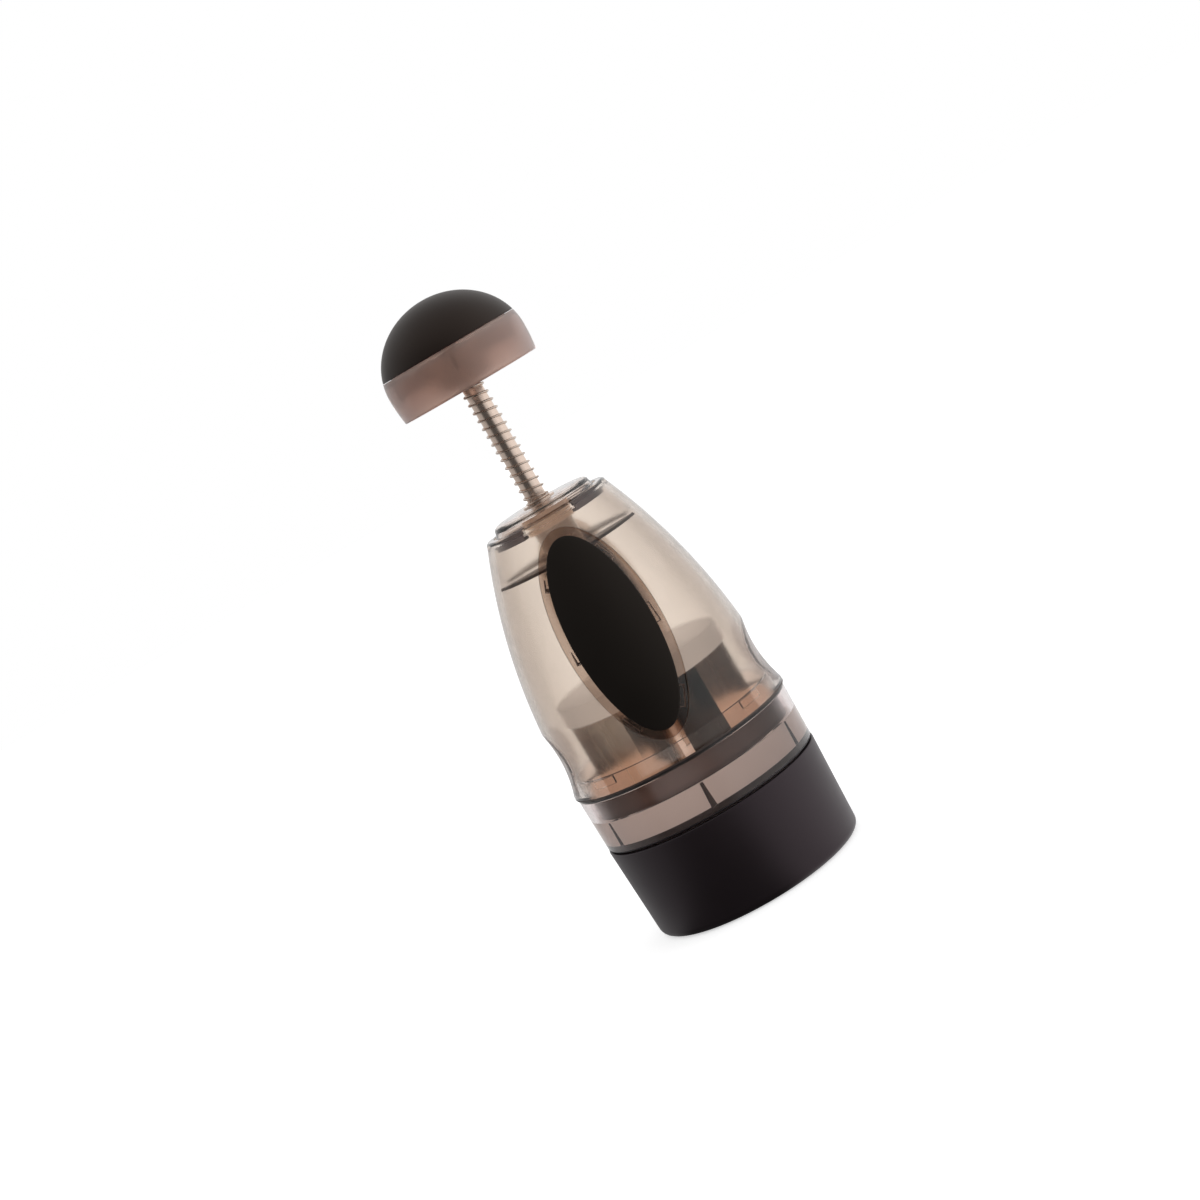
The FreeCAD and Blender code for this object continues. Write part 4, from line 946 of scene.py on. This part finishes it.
def shell_zone(spot, normal):
    """Polished outside, hazy inside, painted shade in the seam at the foot, dark at webs, ledges and grooves, browner
    in recesses and dimples.
    """
    reach = math.hypot(spot.x, spot.y)
    height = min(spot.z, SHOULDER_BASE)
    away = outward(spot, normal)
    if spot.z < HOUSING_BASE + 0.7:
        return 2
    if 137.8 < spot.z < 139.2 and barrel_radius(height, -SHELL_WALL) - reach > 0.35:
        return 5
    depth = skin_radius(spot.z) - reach
    if abs(spot.x) > 30 and 0.012 < depth < 3 and away > 0.5:
        return 4
    if spot.z < 66.4:
        return 6
    if abs(normal.y) > 0.3 and 0.65 < depth < 1.1 and away > 0.5:
        return 3
    if 60 < spot.z < 150 and abs(spot.x) < 20 and (0.05 < depth < 2.0 and away < 0.5 or 1.1 < depth < 1.9 and away > 0.5):
        return 5
    return 1 if depth > 1.2 and away < -0.3 else 0


painted(housing, (shell_smoke, shell_haze, shell_seam_shade, shell_recess, shell_hollow, shell_web, shell_lip), shell_zone)
finished(housing, shell_smoke, "housing", "smoked_plastic", "housing_shell")


# Grip pads: raised black rubber ovals, front and back. Each has six flat pegs pressed through the shell, which are not
# built; the housing has grooves where they go.
def grip_pad(name, side):
    """Oval of rings laid on the barrel's curve, thickened and rounded at its rim."""
    bpy.ops.object.select_all(action="DESELECT")
    bpy.ops.mesh.primitive_circle_add(vertices=160, radius=1, location=(0, side * 0.06, PAD_CENTRE * MM),
                                      rotation=(math.pi / 2, 0, 0))
    pad = bpy.context.object
    pad.name = name
    pad.scale = (PAD_HALF_WIDTH * MM, PAD_HALF_HEIGHT * MM, 1)
    bpy.ops.object.transform_apply(location=True, rotation=True, scale=True)
    bpy.ops.object.mode_set(mode="EDIT")
    bpy.ops.mesh.select_all(action="SELECT")
    shares = [1.0, 0.95] + [0.9 - 0.045 * step for step in range(19)]
    for before, share in zip(shares, shares[1:]):
        bpy.ops.mesh.extrude_region_move(TRANSFORM_OT_translate={"value": (0, 0, 0)})
        bpy.ops.transform.resize(value=(share / before, 1, share / before),
                                 center_override=(0, side * 0.06, PAD_CENTRE * MM))
    bpy.ops.mesh.extrude_region_move(TRANSFORM_OT_translate={"value": (0, 0, 0)})
    bpy.ops.mesh.merge(type="CENTER")
    bpy.ops.object.mode_set(mode="OBJECT")
    bed = turned("bed", [(0.4, 60)] + barrel_rings(66.5, SHOULDER_BASE, -0.78, steps=90) + [(0, SHOULDER_BASE)],
                 segments=360)
    alone(pad)
    lay = pad.modifiers.new("lay", "SHRINKWRAP")
    lay.wrap_method = "PROJECT"
    lay.use_project_y = True
    lay.use_negative_direction = side > 0
    lay.use_positive_direction = side < 0
    lay.target = bed
    bpy.ops.object.modifier_apply(modifier=lay.name)
    bpy.data.objects.remove(bed)
    alone(pad)
    bpy.ops.object.mode_set(mode="EDIT")
    bpy.ops.mesh.select_all(action="SELECT")
    bpy.ops.mesh.normals_make_consistent(inside=False)
    bpy.ops.object.mode_set(mode="OBJECT")
    middle = min(pad.data.polygons, key=lambda face: (face.center - Vector((0, face.center.y, PAD_CENTRE * MM))).length)
    if middle.normal.y * side < 0:
        bpy.ops.object.mode_set(mode="EDIT")
        bpy.ops.mesh.flip_normals()
        bpy.ops.object.mode_set(mode="OBJECT")
    body = pad.modifiers.new("body", "SOLIDIFY")
    body.thickness = 1.58 * MM
    body.offset = 1
    bpy.ops.object.modifier_apply(modifier=body.name)
    rounded(pad, 0.45, steps=4, degrees=50)
    return smooth(pad, 40)


front_pad = grip_pad("front_pad", -1)
rear_pad = grip_pad("rear_pad", 1)
grip_black = grained("grip_black", (0.0085, 0.0068, 0.0056), (0.012, 0.0096, 0.008), (0.5, 0.6), 2200.0, 0.15,
                     shine=0.25, glint=(1.0, 0.85, 0.75))
finished(front_pad, grip_black, "housing", "grip_rubber", "front_grip_pad")
finished(rear_pad, grip_black, "housing", "grip_rubber", "rear_grip_pad")


# Top cap: smoked lid that snaps into the housing's mouth by four hooked lugs and holds the guide tube.
CAP_TOP = 158.7
CAP_SEAT = 153.4
CAP_SKIRT = 20.387
CAP_SHOULDER = 19.187
CAP_FLAT = 16.387
CAP_HOLE = 4.1
cap = turned("top_cap_lid", [(CAP_HOLE, CAP_TOP)]
             + corner((CAP_FLAT, CAP_TOP), (CAP_SHOULDER, 156.9), (CAP_SHOULDER, CAP_TOP)) + [
    (CAP_SKIRT, CAP_SEAT),
    (CAP_SKIRT - 1.8, CAP_SEAT),
    (CAP_SHOULDER - 1.8, 156.0),
    (CAP_FLAT - 0.9, 156.9),
    (9.4, 156.9),
    (9.4, 148.9),
    (7.7, 148.9),
    (7.7, 156.9),
    (CAP_HOLE, 156.9),
], segments=256)
post = wedge_of_ring("post", CAP_SKIRT - 1.8, CAP_SKIRT, 150.2, CAP_SEAT + 0.3, 48, steps=40)
hook = wedge_of_ring("hook", CAP_SKIRT - 1.0, CAP_SKIRT + 1.4, 150.2, 152.2, 48, steps=40)
carved(post, hook, "UNION")
for copy in copies(post, [270 + 52, 270 - 52, 90 + 52, 90 - 52]):
    carved(cap, copy, "UNION")
smooth(cap)
cap_smoke = clear_plastic("cap_smoke", (0.90, 0.83, 0.78), (0.87, 0.79, 0.74), (0.06, 0.12), edge=(0.55, 0.44, 0.39))
# lugs and boss have a faint painted glow
cap_lug = clear_plastic("cap_lug", (0.34, 0.275, 0.29), (0.28, 0.22, 0.24), (0.4, 0.5), veil=0.6, glow=0.03)
cap_boss = clear_plastic("cap_boss", (0.72, 0.55, 0.43), (0.68, 0.51, 0.39), (0.25, 0.35), veil=0.2, glow=0.12)


def cap_zone(spot, normal):
    """Clear lid, greyer lugs and skirt over them, and a browner boss round the guide."""
    bearing = math.degrees(math.atan2(abs(spot.x), abs(spot.y)))
    if spot.xy.length > 17.5 and spot.z < CAP_SEAT + 0.2 and 27.5 < bearing < 76.5:
        return 1
    return 2 if spot.xy.length < 12 and spot.z < 156.8 else 0


painted(cap, (cap_smoke, cap_lug, cap_boss), cap_zone)
finished(cap, cap_smoke, "housing", "smoked_plastic", "top_cap")


# Guide parts: bush and ratchet tube under the cap, and a thin washer on it. They are plain and mostly
# hidden, so the CAD's own shapes stay.
dressed("guide_bush", pale_nylon)
# the guide tube has a faint painted glow
tube_smoke = clear_plastic("tube_smoke", (0.66, 0.53, 0.44), (0.60, 0.48, 0.39), (0.2, 0.3), veil=0.4, glow=0.07)
dressed("guide_tube", tube_smoke)
bright_steel = steel("bright_steel", (0.82, 0.66, 0.56), 300.0, 300.0, 0.02)
dressed("spring_washer", bright_steel)


# Return spring: fine steel wire wound left-handed round the rod, its end turns closed and flat.
SPRING_BASE = 159.2
SPRING_TOP = 214.1
WIRE = 0.7
SPRING_RADIUS = 4.35
SPRING_TURNS = 18.5


def spring_height(turn):
    """Height of the wire's middle: close-wound for the first and last turn, even between them."""
    closed = 0.95 * WIRE
    low = SPRING_BASE + WIRE / 2
    high = SPRING_TOP - WIRE / 2
    if turn < 1:
        return low + closed * turn ** 2
    if turn > SPRING_TURNS - 1:
        return high - closed * (SPRING_TURNS - turn) ** 2
    share = (turn - 1) / (SPRING_TURNS - 2)
    return low + closed + (high - low - 2 * closed) * share


bpy.ops.object.select_all(action="DESELECT")
bpy.ops.curve.primitive_nurbs_path_add()
spring = bpy.context.object
spring.name = "spring_wire"
spring.data.splines.clear()
wire = spring.data.splines.new("POLY")
COUNT = 40
total = round(SPRING_TURNS * COUNT)
wire.points.add(total)
for number in range(total + 1):
    turn = number / COUNT
    angle = -2 * math.pi * turn
    wire.points[number].co = (SPRING_RADIUS * MM * math.cos(angle), SPRING_RADIUS * MM * math.sin(angle),
                              spring_height(turn) * MM, 1)
spring.data.bevel_depth = WIRE / 2 * MM
spring.data.bevel_resolution = 3
spring.data.use_fill_caps = True
alone(spring)
bpy.ops.object.convert(target="MESH")
spring = bpy.context.object
smooth(spring, 60)
spring_steel = steel("spring_steel", (0.62, 0.52, 0.45), 500.0, 500.0, 0.05)
finished(spring, spring_steel, "housing", "polished_steel", "return_spring")
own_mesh(spring)


# Plunger rod: polished steel, stepped at its foot for the blade carrier, grooved for the stop clip and
# tapped at both ends for the screws that hold knob and carrier.
ROD_RADIUS = 3.7
rod = turned("plunger_rod_bar", [
    (2.05, 86.5), (3.0, 86.5), (3.0, 99.3), (ROD_RADIUS, 99.3), (ROD_RADIUS, 145.0), (2.85, 145.0),
    (2.85, 146.0), (ROD_RADIUS, 146.0), (ROD_RADIUS, 219.8), (2.05, 219.8), (2.05, 209.8), (0.4, 209.8),
    (0.4, 96.5), (2.05, 96.5),
], segments=96)
rounded(rod, 0.2, steps=2)
smooth(rod)
finished(rod, bright_steel, "plunger", "polished_steel", "plunger_rod")
for node in ("stop_clip", "spring_seat", "carrier_washer", "carrier_screw", "knob_screw"):
    dressed(node, bright_steel)


# Knob skirt: smoked frosted shell under the dome, with a thick boss for rod and spring and six ribs
# under its deck.
KNOB_BASE = 206.2
KNOB_WIDEST = 216.0
KNOB_RADIUS = 27.45
DECK_BASE = 219.9
DECK_TOP = 222.1
KNOB_TOP = 240.8
KNOB_SEAM = 222.3


def dome_radius(height, offset=0.0):
    share = (height - KNOB_WIDEST) / (KNOB_TOP - KNOB_WIDEST + offset)
    return (KNOB_RADIUS + offset) * math.sqrt(max(0.0, 1 - share ** 2))


def skirt_radius(height, offset=0.0):
    if height > KNOB_WIDEST:
        return dome_radius(height) + offset
    return KNOB_RADIUS + offset - 0.75 * ((KNOB_WIDEST - height) / (KNOB_WIDEST - KNOB_BASE)) ** 2


heights = [KNOB_BASE + (DECK_TOP - KNOB_BASE) * step / 16 for step in range(17)]
inner_heights = [DECK_BASE + (KNOB_BASE - DECK_BASE) * step / 14 for step in range(15)]
locator = dome_radius(224.3, -2.2) - 0.3
skirt = turned("knob_skirt", [(skirt_radius(z), z) for z in heights] + [
    (locator, DECK_TOP), (locator, 224.3), (locator - 1.6, 224.3), (locator - 1.6, DECK_TOP),
    (2.2, DECK_TOP), (2.2, DECK_BASE), (3.8, DECK_BASE), (3.8, 214.6), (5.4, 214.6), (5.4, 207.0), (10.5, 207.0),
    (10.5, DECK_BASE),
] + [(skirt_radius(z, -2.2), z) for z in inner_heights], segments=224)
rib = block("knob_rib", (9.4, -0.7, DECK_BASE - 6.0), (26.0, 0.7, DECK_BASE + 1.1))
for copy in copies(rib, [30, 90, 150, 210, 270, 330]):
    carved(skirt, copy, "UNION")
rounded(skirt, 0.2, steps=2)
smooth(skirt)
knob_smoke = clear_plastic("knob_smoke", (0.81, 0.59, 0.50), (0.76, 0.54, 0.45), (0.3, 0.4), veil=0.25,
                           edge=(0.66, 0.54, 0.53))
finished(skirt, knob_smoke, "plunger", "frosted_smoke", "knob_body")


# Knob cap: black satin dome pressed over the skirt's locator ring, its seam a fine dark line.
def dome_rings(offset, steps=30):
    rings = []
    low = math.asin((KNOB_SEAM - KNOB_WIDEST) / (KNOB_TOP - KNOB_WIDEST + offset))
    for step in range(steps):
        angle = low + (math.pi / 2 - low) * step / steps
        rings.append(((KNOB_RADIUS + offset) * math.cos(angle),
                      KNOB_WIDEST + (KNOB_TOP - KNOB_WIDEST + offset) * math.sin(angle)))
    return rings


dome = turned("knob_dome", [(0.3, KNOB_TOP - 2.2)] + dome_rings(-2.2)[::-1] + dome_rings(0.0) + [(0, KNOB_TOP)],
              segments=224)
smooth(dome)
knob_black = grained("knob_black", (0.015, 0.0095, 0.0075), (0.021, 0.014, 0.0115), (0.42, 0.5), 2600.0, 0.1,
                     shine=0.26, glint=(1.0, 0.82, 0.72))
finished(dome, knob_black, "plunger", "knob_black", "knob_cap")
